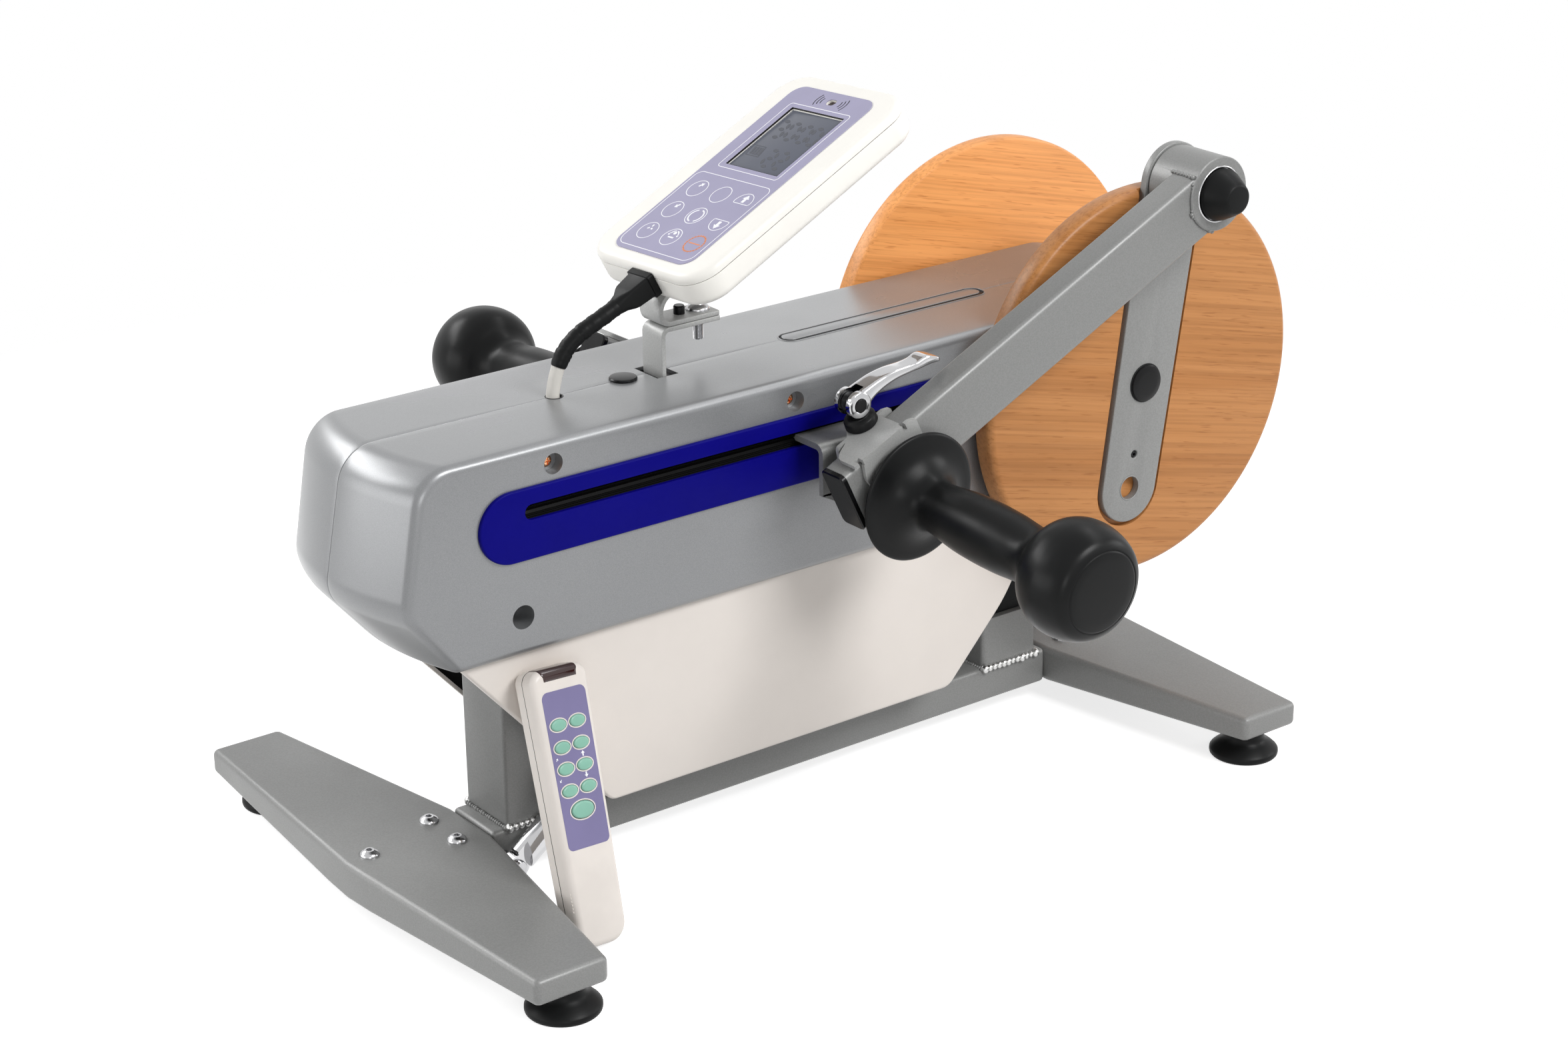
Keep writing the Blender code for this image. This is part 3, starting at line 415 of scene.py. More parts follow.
def smooth(points, per=6):
    """A Catmull-Rom line through the points, of any dimension."""
    pts = [Vector(p) for p in points]
    out = []
    for i in range(len(pts) - 1):
        a, b, c, d = pts[max(i - 1, 0)], pts[i], pts[i + 1], pts[min(i + 2, len(pts) - 1)]
        for k in range(per):
            t = k / per
            square, cube = 2 * a - 5 * b + 4 * c - d, 3 * b - a - 3 * c + d
            out.append(0.5 * (2 * b + (c - a) * t + square * t * t + cube * t ** 3))
    return out + [pts[-1]]


def joined(*parts):
    """Several closed shapes in one mesh, for pieces that only touch."""
    bm = bmesh.new()
    for p in parts:
        me = bpy.data.meshes.new("part")
        p.to_mesh(me)
        p.free()
        bm.from_mesh(me)
        bpy.data.meshes.remove(me)
    return bm


def raw(name, bm):
    bmesh.ops.scale(bm, vec=(MM,) * 3, verts=bm.verts)
    me = bpy.data.meshes.new(name)
    bm.to_mesh(me)
    bm.free()
    ob = bpy.data.objects.new(name, me)
    scene.collection.objects.link(ob)
    return ob


def piece(name, body, material, bm, add=(), cut=(), first=0, edge=0, seg=3, slot=None, sharp=34,
          place=None, inner=None):
    """One finished piece: booleans and bevels are worked out here, so what rides on the body is a plain mesh.

    first rounds the starting shape, edge rounds the result; inner is (material, test) for faces of a second
    colour. A piece named like a CAD node stands for it; for any other the slot given or its material's is
    looked up but not kept."""
    if place is not None:
        for b in (bm, *add, *cut):
            bmesh.ops.transform(b, matrix=place, verts=b.verts)
    ob = raw(name, bm)
    tools = []

    def bevel(width):
        m = ob.modifiers.new("bevel", "BEVEL")
        m.width, m.segments, m.limit_method, m.angle_limit = width * MM, seg, "ANGLE", rad(40)
        m.use_clamp_overlap = True

    if first:
        bevel(first)
    for kind, shapes in (("UNION", add), ("DIFFERENCE", cut)):
        for shape in shapes:
            tool = raw("tool", shape)
            tools.append(tool)
            m = ob.modifiers.new("bool", "BOOLEAN")
            m.object, m.operation, m.solver = tool, kind, "EXACT"
    if edge:
        bevel(edge)
    if ob.modifiers:
        me = bpy.data.meshes.new_from_object(ob.evaluated_get(bpy.context.evaluated_depsgraph_get()))
        ob.modifiers.clear()
        old, ob.data = ob.data, me
        bpy.data.meshes.remove(old)
        me.name = name
        clean = bmesh.new()
        clean.from_mesh(me)
        bmesh.ops.dissolve_degenerate(clean, edges=clean.edges, dist=1e-7)
        clean.to_mesh(me)
        clean.free()
    for tool in tools:
        bpy.data.meshes.remove(tool.data)
    ob.data.shade_smooth()
    ob.data.set_sharp_from_angle(angle=rad(sharp))
    ob.data.materials.clear()
    ob.data.materials.append(material)
    if inner:
        ob.data.materials.append(inner[0])
        for p in ob.data.polygons:
            if inner[1](p):
                p.material_index = 1
    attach(ob, body)
    if name in frame["nodes"]:
        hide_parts(name)
    else:
        slot or SLOT_OF[material.name]
    return ob


def rider(body, **fixed):
    """A maker of pieces that ride on one body."""
    def made(name, material, bm, **more):
        return piece(name, body, material, bm, **fixed, **more)
    return made


on_base, on_unit, on_crank = rider("base"), rider("drive_unit"), rider("crank")


def dress(node, material):
    """A CAD node that shows as it is gets its material."""
    ob = frame["nodes"][node]
    ob.data.materials.clear()
    ob.data.materials.append(material)


# Sizes of the machine, the same as in the CAD

CRANK_X, CRANK_Z, PIN_RADIUS, CRANK_LEAN = 247, 277, 153, 9
DISC_R, DISC_T, DISC_FACE = 150, 18, 96.2
PLATE_W, PLATE_HOLE, PLATE_END_R = 54, 82, 29
PIVOT_Z, LINK, PIVOT_DROP = 266, 329, 23
ARM_H, ARM_IN, ARM_OUT, ARM_END = 48, 118, 142, 368
EYE_R, EYE_BORE, EYE_END, GRIP_DROOP, GRIP_L = 27.5, 20, 144, 3.1, 194
BODY_W, GAP, SIDE_R, CROWN = 74, 0.3, 6, 17.5
PROFILE = [(-362, 341, 28), (-379, 244, 26), (-341, 195, 9), (317, 195, 30), (317, 341, 40)]
SLOT_LOW, SLOT_HIGH, SLOT_FRONT, SLOT_REAR = 291.5, 302.5, -287, 117
TRIM_LOW, TRIM_HIGH, TRIM_FRONT, TRIM_REAR = 263.5, 314, -322, 152
RAIL_Y, RAIL_Z, RAIL_R = 50, 297, 6
TILT_X, TILT_Z = -290, 223
BEAM_TOP, BEAM_BOTTOM, BEAM_END_BOTTOM, FOOT_W = 44, 16, 25, 219
POST_X0, POST_X1, POST_HALF = -281.5, -231.5, 26.5
STUB_X0, STUB_X1, PAD_INSET = 153, 207, 27
ROD_X, ROD_Z, ROD_Y, ROD_ANGLE, ROD_LENGTH = -286, 24, 42, 37, 230
SIDES = (("near", -1), ("far", 1))
UP, NEARWARD = Vector((0, 0, 1)), Vector((0, -1, 0))


# Small parts used in several places

def hexagon(at, direction, r, depth):
    return turned([(0, r), (depth, r)], at, direction, 6)


def button_screw(name, body, at, r=7, high=3.9):
    """A round-headed screw with a hexagon socket, pointing down."""
    dome = [(-0.5, 0), (-0.5, r), (0.6, r), (1.4, r * 0.965), (2.3, r * 0.86), (3.1, r * 0.70),
            (3.6, r * 0.56), (high, r * 0.50), (high, 0)]
    socket = hexagon(Vector(at) + UP * (high - 2.4), UP, r * 0.34, 6)
    piece(name, body, SATIN, turned(dome, at, UP, 48), cut=[socket])


def weld_bead(name, body, path, r, seed, material=GREY):
    """A bead of overlapping rounded lumps along a path."""
    turns = [pi * j / 10 for j in range(11)]
    lumps = []
    for a, b in zip(path, path[1:]):
        a, b = Vector(a), Vector(b)
        count = max(2, round((b - a).length / (r * 1.5)))
        for k in range(count):
            big = r * (1 + 0.14 * sin(k * 1.7 + seed) + 0.10 * sin(k * 2.1 + seed * 3))
            lump = [(-big * cos(t) * 0.8, big * sin(t) if 0 < t < pi else 0) for t in turns]
            lumps.append(turned(lump, a.lerp(b, (k + 0.5) / count), b - a, 16))
    piece(name, body, material, joined(*lumps), sharp=180)


# Floor frame

def foot(name, apex, flat, end_out, end_in):
    half = POST_HALF + 0.5
    knee = apex + (end_out - apex) * half / FOOT_W
    end, mid = (end_out, end_in, BEAM_END_BOTTOM), (knee, flat, BEAM_BOTTOM)
    cuts = [(-FOOT_W, *end), (-half, *mid), (0, apex, flat, BEAM_BOTTOM), (half, *mid), (FOOT_W, *end)]
    beam = loft([[(a, y, z), (b, y, z), (b, y, BEAM_TOP), (a, y, BEAM_TOP)] for y, a, b, z in cuts])
    on_base(name, GREY, beam, edge=4.6, seg=6, sharp=50)


def pad(name, x, y):
    flare = [(0, 24), (0.4, 25), (1.2, 25.7), (2.4, 26), (4.4, 25.9), (5.2, 25.4), (6.6, 24),
             (8.6, 21.6), (10.4, 19), (11.8, 17.2), (13, 16.2), (14.5, 15.4), (16, 15), (22.7, 15)]
    on_base(name, BLACK, turned(flare, (x, y, 0), UP, 72), sharp=60)


def post():
    line = [(POST_X0, 44.3), (POST_X1, 44.3), (POST_X1, 196), (-262, 232), (-272, 239), (-303, 239),
            (-305, 226), (-304, 208), (POST_X0, 190)]
    fork = [slab(-277.5, -235.5, -22.3, 22.3, 60, 260), slab(-310, -277, -22.3, 22.3, 200, 260),
            bar((TILT_X, -40, TILT_Z), (TILT_X, 40, TILT_Z), 8.3)]
    on_base("front_post", GREY, prism(line, "y", -POST_HALF, POST_HALF), first=2.6, cut=fork)


def weld_round(name, x0, x1, z):
    """Beads along the four sides of an upright."""
    for side, s in SIDES:
        weld_bead(f"{name}_{side}", "base", [(x0 - 1, s * 27.2, z), (x1 + 1, s * 27.2, z)], 3.1, s + 2, WELD)
    for end, x in (("front", x0 - 0.6), ("rear", x1 + 0.6)):
        weld_bead(f"{name}_{end}", "base", [(x, -27, z), (x, 27, z)], 1.7, x)


foot("front_foot", -397, -294, -383, -327)
foot("rear_foot", 312, 217, 299, 246)
rail = slab(-293.7, 216.7, -POST_HALF, POST_HALF, BEAM_BOTTOM, BEAM_TOP)
on_base("base_rail", GREY, rail, edge=3.5, seg=4)
stub_line = filleted(corners(STUB_X0, STUB_X1, -POST_HALF, POST_HALF, 5), 0, 6)
on_base("rest_stub", GREY, prism(stub_line, "z", 43, 84.5), edge=0.8)
on_base("actuator_stud", SATIN, bar((ROD_X, -26, ROD_Z), (ROD_X, -50, ROD_Z), 5), edge=0.6)
for end, x in (("front", -346), ("rear", 272)):
    for side, s in SIDES:
        pad(f"pad_{end}_{side}", x, s * (FOOT_W - PAD_INSET))
post()
on_base("tilt_pin", STEEL, bar((TILT_X, -34, TILT_Z), (TILT_X, 34, TILT_Z), 8), edge=1)
on_base("rest_pad", BLACK, slab(156, 204, -23, 23, 84.8, 94.7), edge=2.2)
for k, (x, y) in enumerate(((-318, -18.6), (-318, 18.6), (-376.7, 0), (240, -18.6), (240, 18.6)), 1):
    button_screw(f"foot_screw_{k}", "base", (x, y, BEAM_TOP))
weld_round("post_bead", POST_X0, POST_X1, 44.6)
weld_round("stub_bead", STUB_X0, STUB_X1, 43.9)


# Tilt actuator

lift = Vector((cos(rad(ROD_ANGLE)), 0, sin(rad(ROD_ANGLE))))
foot_eye = Vector((ROD_X, -ROD_Y, ROD_Z))


def across(at, half, r):
    """A bar through a point, across the machine."""
    way = Vector((0, half, 0))
    return bar(at + way, at - way, r)


rod_line = [(6, 9.2), (7, 10), (128, 10)]
tube_line = [(86, 13.2), (86.8, 14), (89, 14.4), (90, 15.4), (91, 16), (160, 16), (162, 15.4), (166, 12),
             (170, 4.5), (228, 4.5)]
piece("actuator_rod", "actuator_rod", CHROME, turned(rod_line, foot_eye, lift, 48),
      add=[across(foot_eye, 4.5, 9)],
      cut=[across(foot_eye, 20, 5.3), slab(ROD_X - 12, ROD_X + 8, -60, -ROD_Y - 4.5, 0, 50),
           slab(ROD_X - 12, ROD_X + 8, -ROD_Y + 4.5, -20, 0, 50)])
piece("actuator_tube", "actuator_tube", DARK, turned(tube_line, foot_eye, lift, 56),
      add=[across(foot_eye + lift * ROD_LENGTH, 4.5, 10)],
      cut=[bar(foot_eye + lift * 70, foot_eye + lift * 152, 10.3)])


# Casing: two half shells, side strips round the slots, lower covers and what shows in their openings

SCREWS = ((-261.7, 325.3), (-61.7, 324.1))
SEAM_R = 0.45
ROOF_Z, HATCH_X0, HATCH_X1, LEAD_X = 341, -136, -118, -212
GROOVE_X0, GROOVE_X1, GROOVE_HALF = -18, 169, 9.2
SKIRT_IN, SKIRT_WALL, SKIRT_MID = 58.6, 63.5, (-90, 150)
SKIRT_LINE = [(-336, 210, 1), (-336, 194, 2), (-219, 62, 10), (86, 62, 14), (148, 128, 120), (172, 195, 3),
              (172, 210, 1)]


def stadium(x0, x1, z0, z1, axis, lo, hi, seg=14):
    outline = filleted(corners(x0, x1, z0, z1, (z1 - z0) / 2 - 0.1), 0, seg)
    return prism(outline, axis, min(lo, hi), max(lo, hi))


def groove(grow, lo, hi):
    """The roof's long groove, grown by a margin."""
    half = GROOVE_HALF + grow
    return stadium(GROOVE_X0 - grow, GROOVE_X1 + grow, -half, half, "z", lo, hi)


def case_line(y, deep=0):
    """The side outline at y from the centre line, crowned at the nose; deep is the least corner radius."""
    c = CROWN * (1 - min(1, max(0, y) / BODY_W) ** 2)
    nose = [(x - k * c, z, r) for (x, z, r), k in zip(PROFILE, (0.9, 1, 0.75))]
    return [(x, z, max(r, deep)) for x, z, r in nose + PROFILE[3:]]


def rounding(r, steps, at_end):
    """Pairs of distance back from the end and inset, for a rounded edge."""
    return [(at_end - r * (1 - sin(t)), r * (1 - cos(t))) for t in quarter(steps)]


centre_edge = [(0.3 - y, i) for y, i in reversed(rounding(SEAM_R, 4, 0.15))]
crown_rings = centre_edge + [(BODY_W * k / 12, 0) for k in range(1, 11)] + rounding(SIDE_R, 9, BODY_W)


def casing(side, s):
    out = Vector((0, s, 0))
    skin = loft([[(x, s * y, z) for x, z in filleted(case_line(y), i, 14)] for y, i in crown_rings])
    hollow = loft([[(x, s * y, z) for x, z in filleted(case_line(y, 8), i, 4)]
                   for y, i in ((-2, 3), (26, 3), (48, 3), (67, 3), (71, 7))])
    bosses = [turned([(0, 11), (10.5, 11)], (x, s * 61.5, z), out, 24) for x, z in SCREWS]
    bosses.append(turned([(0, 12), (28, 12)], (TILT_X, s * 44, TILT_Z), out, 24))
    holes = [turned([(0, 7.3), (9, 7.3), (9.6, 7.9), (12, 7.9)], (x, s * 65, z), out, 40) for x, z in SCREWS]
    holes.append(turned([(0, 8.5), (60, 8.5)], (TILT_X, s * 40, TILT_Z), out, 40))
    cuts = [hollow, slab(-337, 305, -s * 2, s * 66.4, 180, 205),
            stadium(SLOT_FRONT - 2, SLOT_REAR + 2, SLOT_LOW - 2, SLOT_HIGH + 2, "y", s * 60, s * 80),
            slab(HATCH_X0, HATCH_X1, -14, 14, 330, 350), bar((LEAD_X, 0, 330), (LEAD_X, 0, 350), 6.5),
            groove(0, 339.3, 350), bar((CRANK_X, s * 60, CRANK_Z), (CRANK_X, s * 80, CRANK_Z), 17)]
    blank = on_unit(f"casing_{side}_blank", SILVER, skin, cut=cuts, sharp=28)
    mesh = bmesh.new()
    mesh.from_mesh(blank.data)
    bmesh.ops.scale(mesh, vec=(1 / MM,) * 3, verts=mesh.verts)
    bpy.data.objects.remove(blank, do_unlink=True)
    on_unit(f"casing_{side}", SILVER, mesh, add=bosses, cut=holes, sharp=28)


def trim(side, s):
    line = corners(TRIM_FRONT, TRIM_REAR, TRIM_LOW, TRIM_HIGH, 25.2)
    band = cushioned(line, "y", s * (BODY_W + 0.02), s * 76.8, 1.4, seg=20, steps=5)
    slot = stadium(SLOT_FRONT, SLOT_REAR, SLOT_LOW, SLOT_HIGH, "y", s * 70, s * 80, 12)
    on_unit(f"trim_{side}", BLUE, band, cut=[slot])


def slot_lining(side, s):
    x0, x1 = SLOT_FRONT - 1, SLOT_REAR + 1
    lip = [(70.6, 0), (73.2, 0), (73.5, 0.5), (72.9, 1.1), (73.3, 1.7), (72.7, 2.3), (73.1, 2.9), (72.5, 3.5),
           (72.9, 4.1), (72.3, 4.9), (71.7, 5.9), (71.2, 6.1), (70.6, 4)]
    for row, root, k in (("upper", SLOT_HIGH + 0.8, -1), ("lower", SLOT_LOW - 0.8, 1)):
        line = [(s * y, root + k * d) for y, d in lip]
        on_unit(f"brush_{row}_{side}", BRUSH, prism(line, "x", x0, x1), sharp=20)
    # The sheet behind the lips is painted shade for the shaded inside of the casing
    on_unit(f"slot_back_{side}", SLOT_SHADE, slab(x0, x1, s * 69.2, s * 69.8, 290, 304))


def skirt(side, s):
    """A cream lower cover that is black inside."""
    def inside(face):
        c, n = face.center / MM, face.normal
        if abs(c.y) >= SKIRT_WALL + 0.1 or (abs(c.y) < SKIRT_IN + 0.1 and n.y * s < -0.5):
            return False
        return n.x * (SKIRT_MID[0] - c.x) + n.z * (SKIRT_MID[1] - c.z) > 0 or abs(n.y) > 0.7

    hollow = prism(filleted([(u, v, max(r, 3)) for u, v, r in SKIRT_LINE], 2.6), "y", s * 50, s * SKIRT_WALL)
    cover = cushioned(SKIRT_LINE, "y", s * SKIRT_IN, s * 66, 2.4, seg=14, round_lo=0.4)
    on_unit(f"skirt_{side}", CREAM, cover, cut=[hollow], inner=(BLACK, inside))


def case_screws(side, s):
    y = s * 65
    head_line = [(0, 0), (0, 4.2), (1.2, 4.2), (2.2, 3.5), (2.9, 2.2), (3.1, 0)]
    for k, (x, z) in enumerate(SCREWS, 1):
        head = turned(head_line, (x - 0.8, y, z), (0, s, 0), 36)
        cross = [slab(x - 1.3, x - 0.3, y + s * 1.2, y + s * 6, z - 2.3, z + 2.3),
                 slab(x - 3.1, x + 1.5, y + s * 1.2, y + s * 6, z - 0.5, z + 0.5)]
        on_unit(f"case_screw_{side}_{k}", COPPER, head, cut=cross)
        on_unit(f"screw_seat_{side}_{k}", SILVER, bar((x, s * 64.6, z), (x, s * 65.3, z), 7.2))
    on_unit(f"hole_bottom_{side}", SILVER, bar((TILT_X, s * 50, TILT_Z), (TILT_X, s * 52, TILT_Z), 8.4))


for side, s in SIDES:
    for part in (casing, trim, slot_lining, skirt, case_screws):
        part(side, s)
for node, material in (("chassis", DARK), ("gearmotor", CAST), ("motor_pulley", STEEL), ("drive_belt", BLACK),
                       ("control_board", BOARD), ("crank_shaft", STEEL)):
    dress(node, material)
plug_line = [(-3, 9), (0, 9), (0, 10), (1.2, 10), (2, 9.3), (2.3, 7), (2.3, 0)]
dome_line = [(-1, 7), (0.4, 7), (1.6, 6.6), (3.2, 5.2), (4.4, 3), (4.9, 0)]
on_unit("roof_plug", BLACK_GLOSS, turned(plug_line, (-155, 0, ROOF_Z), UP, 48))
on_unit("roof_strip", SILVER, stadium(-14.8, 167.2, -4.6, 8.9, "z", 339.4, 340.95), edge=0.4)
# A black band just below the roof beside the strip: painted shade for the shadowed gap along the strip's near
# edge
on_unit("roof_strip_gap", BLACK, groove(-0.2, 339.2, 340.40))
on_unit("roof_rim", SILVER, groove(1, 340.2, 341.45), edge=0.3, cut=[groove(0, 340, 343)])
on_unit("roof_dome", CHROME, turned(dome_line, (239, -68.8, ROOF_Z - 2), (0, -0.45, 1), 40))


# Wooden discs with their crank plates

def crank_way(s):
    """The direction in x and z from the hub to the crank pin of a side."""
    lean = rad(CRANK_LEAN)
    return Vector((sin(lean), cos(lean))) * (-s)


def bed(s, extra, y0, y1, n=40):
    """The crank plate's form grown by a margin, straight through from y0 to y1."""
    way = crank_way(s)
    side_way = Vector((way.y, -way.x))
    pts = []
    for c, sign, r in ((PIN_RADIUS, 1, PLATE_END_R), (-PLATE_HOLE, -1, PLATE_W / 2)):
        for t in (pi * k / n for k in range(n + 1)):
            p = way * (c + sign * (r + extra) * sin(t)) + side_way * (sign * (r + extra) * cos(t))
            pts.append((CRANK_X + p.x, CRANK_Z + p.y))
    return loft([[(x, s * y, z) for x, z in pts] for y in (y0, y1)])


def disc(side, s):
    hub, out = Vector((CRANK_X, 0, CRANK_Z)), Vector((0, s, 0))
    way = Vector((crank_way(s).x, 0, crank_way(s).y))
    hole, small = hub - way * PLATE_HOLE, hub - way * 55.7
    back = DISC_FACE - DISC_T
    rim = [(back, DISC_R - 2.5), (back + 0.8, DISC_R - 0.8), (back + 2.5, DISC_R)]
    rim += [(DISC_FACE - 5.5 * (1 - sin(t)), DISC_R - 5.5 * (1 - cos(t))) for t in quarter(9)]
    # Each disc takes its own copy of the beech: painted shade on the near one, painted light on the far one
    on_crank(f"disc_{side}", LIT_AND_SHADED_BEECH[side], turned(rim, hub, out, 160),
             cut=[bed(s, 3.5, 91.9, 105), bar(hub + out * 70, hub + out * 105, 12.8)])
    on_crank(f"crank_plate_{side}", PLATE, bed(s, 0, 92, 98.2), edge=0.9,
             cut=[bar(hole + out * 85, hole + out * 105, 9), bar(small + out * 94, small + out * 105, 3)])
    on_crank(f"plate_hole_rim_{side}", PLATE, ring(hole + out * 98.1, out, 9.3, 0.5))
    screw = turned([(94.5, 0), (94.5, 2.6), (97.3, 2.6), (97.7, 2.2), (97.7, 0)], small, out, 32)
    on_crank(f"plate_screw_{side}", BLACK_GLOSS, screw, cut=[hexagon(small + out * 96, out, 1.3, 4)])
    collar = [(96, 0), (96, 15), (98.7, 15), (99.1, 14.6), (99.1, 0)]
    on_crank(f"hub_ring_{side}", DARK, turned(collar, hub, out))
    cap = [(97, 0), (97, 14.2), (99.6, 14.2), (100.4, 13.8), (100.9, 12.6), (101.2, 8.6), (101.3, 0)]
    on_crank(f"hub_cap_{side}", BLACK_GLOSS, turned(cap, hub, out))


for side, s in SIDES:
    disc(side, s)


# Sliders, arms, saddles, grips and levers

LEVER_Y = ARM_IN - 4.5
HALF_H = ARM_H / 2
REACH = sqrt(LINK ** 2 - PIVOT_DROP ** 2)
CLAMP = (REACH - 3, HALF_H + 22.5)
WALL_OUT = ARM_OUT + 3.5


class Side:
    """One side at rest: u runs from the crank pin along the arm, w up across it and y outward."""

    def __init__(self, name, s):
        self.name, self.s = name, s
        self.pin = Vector((CRANK_X, CRANK_Z)) + crank_way(s) * PIN_RADIUS
        self.pivot_x = self.pin.x - sqrt(LINK ** 2 - (self.pin.y - PIVOT_Z) ** 2)
        a = asin((self.pin.y - PIVOT_Z) / LINK) - asin(PIVOT_DROP / LINK)
        self.along = Vector((-cos(a), 0, -sin(a)))
        self.up = Vector((-sin(a), 0, cos(a)))
        self.out = Vector((0, s, 0))

    def at(self, u, w, y):
        p = Vector((self.pin.x, 0, self.pin.y)) + self.along * u + self.up * w
        return Vector((p.x, self.s * y, p.z))

    def plate(self, outline, y0, y1):
        """An outline in u and w, straight through from y0 to y1."""
        return loft([[self.at(u, w, y) for u, w in outline] for y in (y0, y1)])

    def tube(self, *rings):
        """A skin over outlines in y and w, each with its u."""
        return loft([[self.at(u, w, y) for y, w in line] for u, line in rings])

    def pivot_bar(self, y0, y1, r):
        return bar((self.pivot_x, self.s * y0, PIVOT_Z), (self.pivot_x, self.s * y1, PIVOT_Z), r)


def arm_line(shrink, r, inset=0, seg=7):
    """The arm's section, smaller all round by shrink and inset."""
    h = HALF_H - shrink
    return filleted(corners(ARM_IN + shrink, ARM_OUT - shrink, -h, h, r), inset, seg)


def slider(side):
    """Carriage, bent plate through the slot and pivot stud."""
    s, x = side.s, side.pivot_x
    x0, x1 = x - 46, x + 26
    arc = [(104 - 8 * (1 - cos(t)), 299.5 - 8 * (1 - sin(t))) for t in quarter(10)]
    arc_in = [(99.5 - 3.5 * (1 - cos(t)), 295 - 3.5 * (1 - sin(t))) for t in quarter(10)]
    bend = [(60, 299.5), *reversed(arc), (104, 262), (99.5, 262), *arc_in, (60, 295)]
    drop = filleted([(x0, 263.4, 0.4), (x0, 262, 2), (x - 16, 247, 6), (x + 16, 247, 6), (x1, 262, 2),
                     (x1, 263.4, 0.4)], 0, 6)
    name = f"slider_{side.name}"
    piece(name, name, GREY, prism([(s * y, z) for y, z in bend], "x", x0, x1), edge=0.8, seg=2,
          add=[slab(x0, x1, s * 38.5, s * 62, 285, 309), prism(drop, "y", s * 99.5, s * 104),
               side.pivot_bar(103, 112, 15), side.pivot_bar(111, 117.3, 8)],
          cut=[bar((x0 - 5, s * RAIL_Y, RAIL_Z), (x1 + 5, s * RAIL_Y, RAIL_Z), RAIL_R + GAP, 24)])


def arm(side):
    name, at = side.name, side.at
    body = f"arm_{name}"
    on_arm = rider(body)
    line = arm_line(0, 4.5)
    eye = [(98.6, EYE_R - 0.8), (99.4, EYE_R), (EYE_END - 0.8, EYE_R), (EYE_END, EYE_R - 0.8)]
    hollow = arm_line(2, 2.5, seg=4)
    on_arm(body, GREY, side.tube((0, line), (ARM_END, line)),
           add=[turned(eye, at(0, 0, 0), side.out, 80)],
           cut=[bar(at(0, 0, 90), at(0, 0, 150), EYE_BORE, 56),
                side.tube((40, hollow), (ARM_END + 5, hollow))])

    def beside_eye(w, gap, y, lift=0):
        return at(sqrt(EYE_R ** 2 - w * w) + gap, w + lift, y)

    face = ((2 - HALF_H, ARM_OUT + 0.2), (0, ARM_OUT + 0.4), (HALF_H - 2, ARM_OUT + 0.2))
    weld_bead(f"arm_bead_{name}_face", body, [beside_eye(w, 0.8, y) for w, y in face], 1.6, 2.3)
    for tag, w in (("top", HALF_H), ("low", -HALF_H)):
        path = [beside_eye(w, 1, y, copysign(0.4, w)) for y in (ARM_IN, 130, ARM_OUT)]
        weld_bead(f"arm_bead_{name}_{tag}", body, path, 1.8, 4.1)
    stem = arm_line(2.3, 2)
    rings = [(-14, stem), (0.3, stem), (0.3, line), (3.2, line), (4, arm_line(0, 4.5, 1))]
    plug = side.tube(*((ARM_END + u, outline) for u, outline in rings))
    on_arm(f"arm_plug_{name}", BLACK_GLOSS, plug)


def crank_pin(side):
    name, out, centre = side.name, side.out, side.at(0, 0, 0)
    on_arm = rider(f"arm_{name}")
    cone = [(98.9, 0), (98.9, 19.6), (141.5, 19.6), (141.5, 17), (143.2, 17), (143.2, 18.2), (144.2, 19.2),
            (147, 19.2), (148.4, 18.8), (158.4, 13.9), (160, 12.9), (163, 11.2), (163.8, 10.2), (164, 9.2),
            (164, 0)]
    collar = [(141.6, 19.9), (141.6, 22.4), (143, 22.4), (143.2, 22.2), (143.2, 19.9)]
    washer = [(96.4, 18), (96.4, 23), (98.5, 23), (98.5, 18)]
    on_arm(f"crank_pin_{name}", BLACK, turned(cone, centre, out, 72))
    on_arm(f"pin_ring_{name}", SATIN, turned(collar, centre, out))
    on_arm(f"pin_clip_{name}", SATIN, ring(centre + out * 143.8, out, 20.3, 0.85))
    on_arm(f"pin_washer_{name}", BLACK_GLOSS, turned(washer, centre, out, 56))


def grip_axis(side):
    """Root and direction of the grip's spindle."""
    droop = rad(GRIP_DROOP)
    return Vector((side.pivot_x, side.s * 147, PIVOT_Z)), Vector((0, side.s * cos(droop), -sin(droop)))


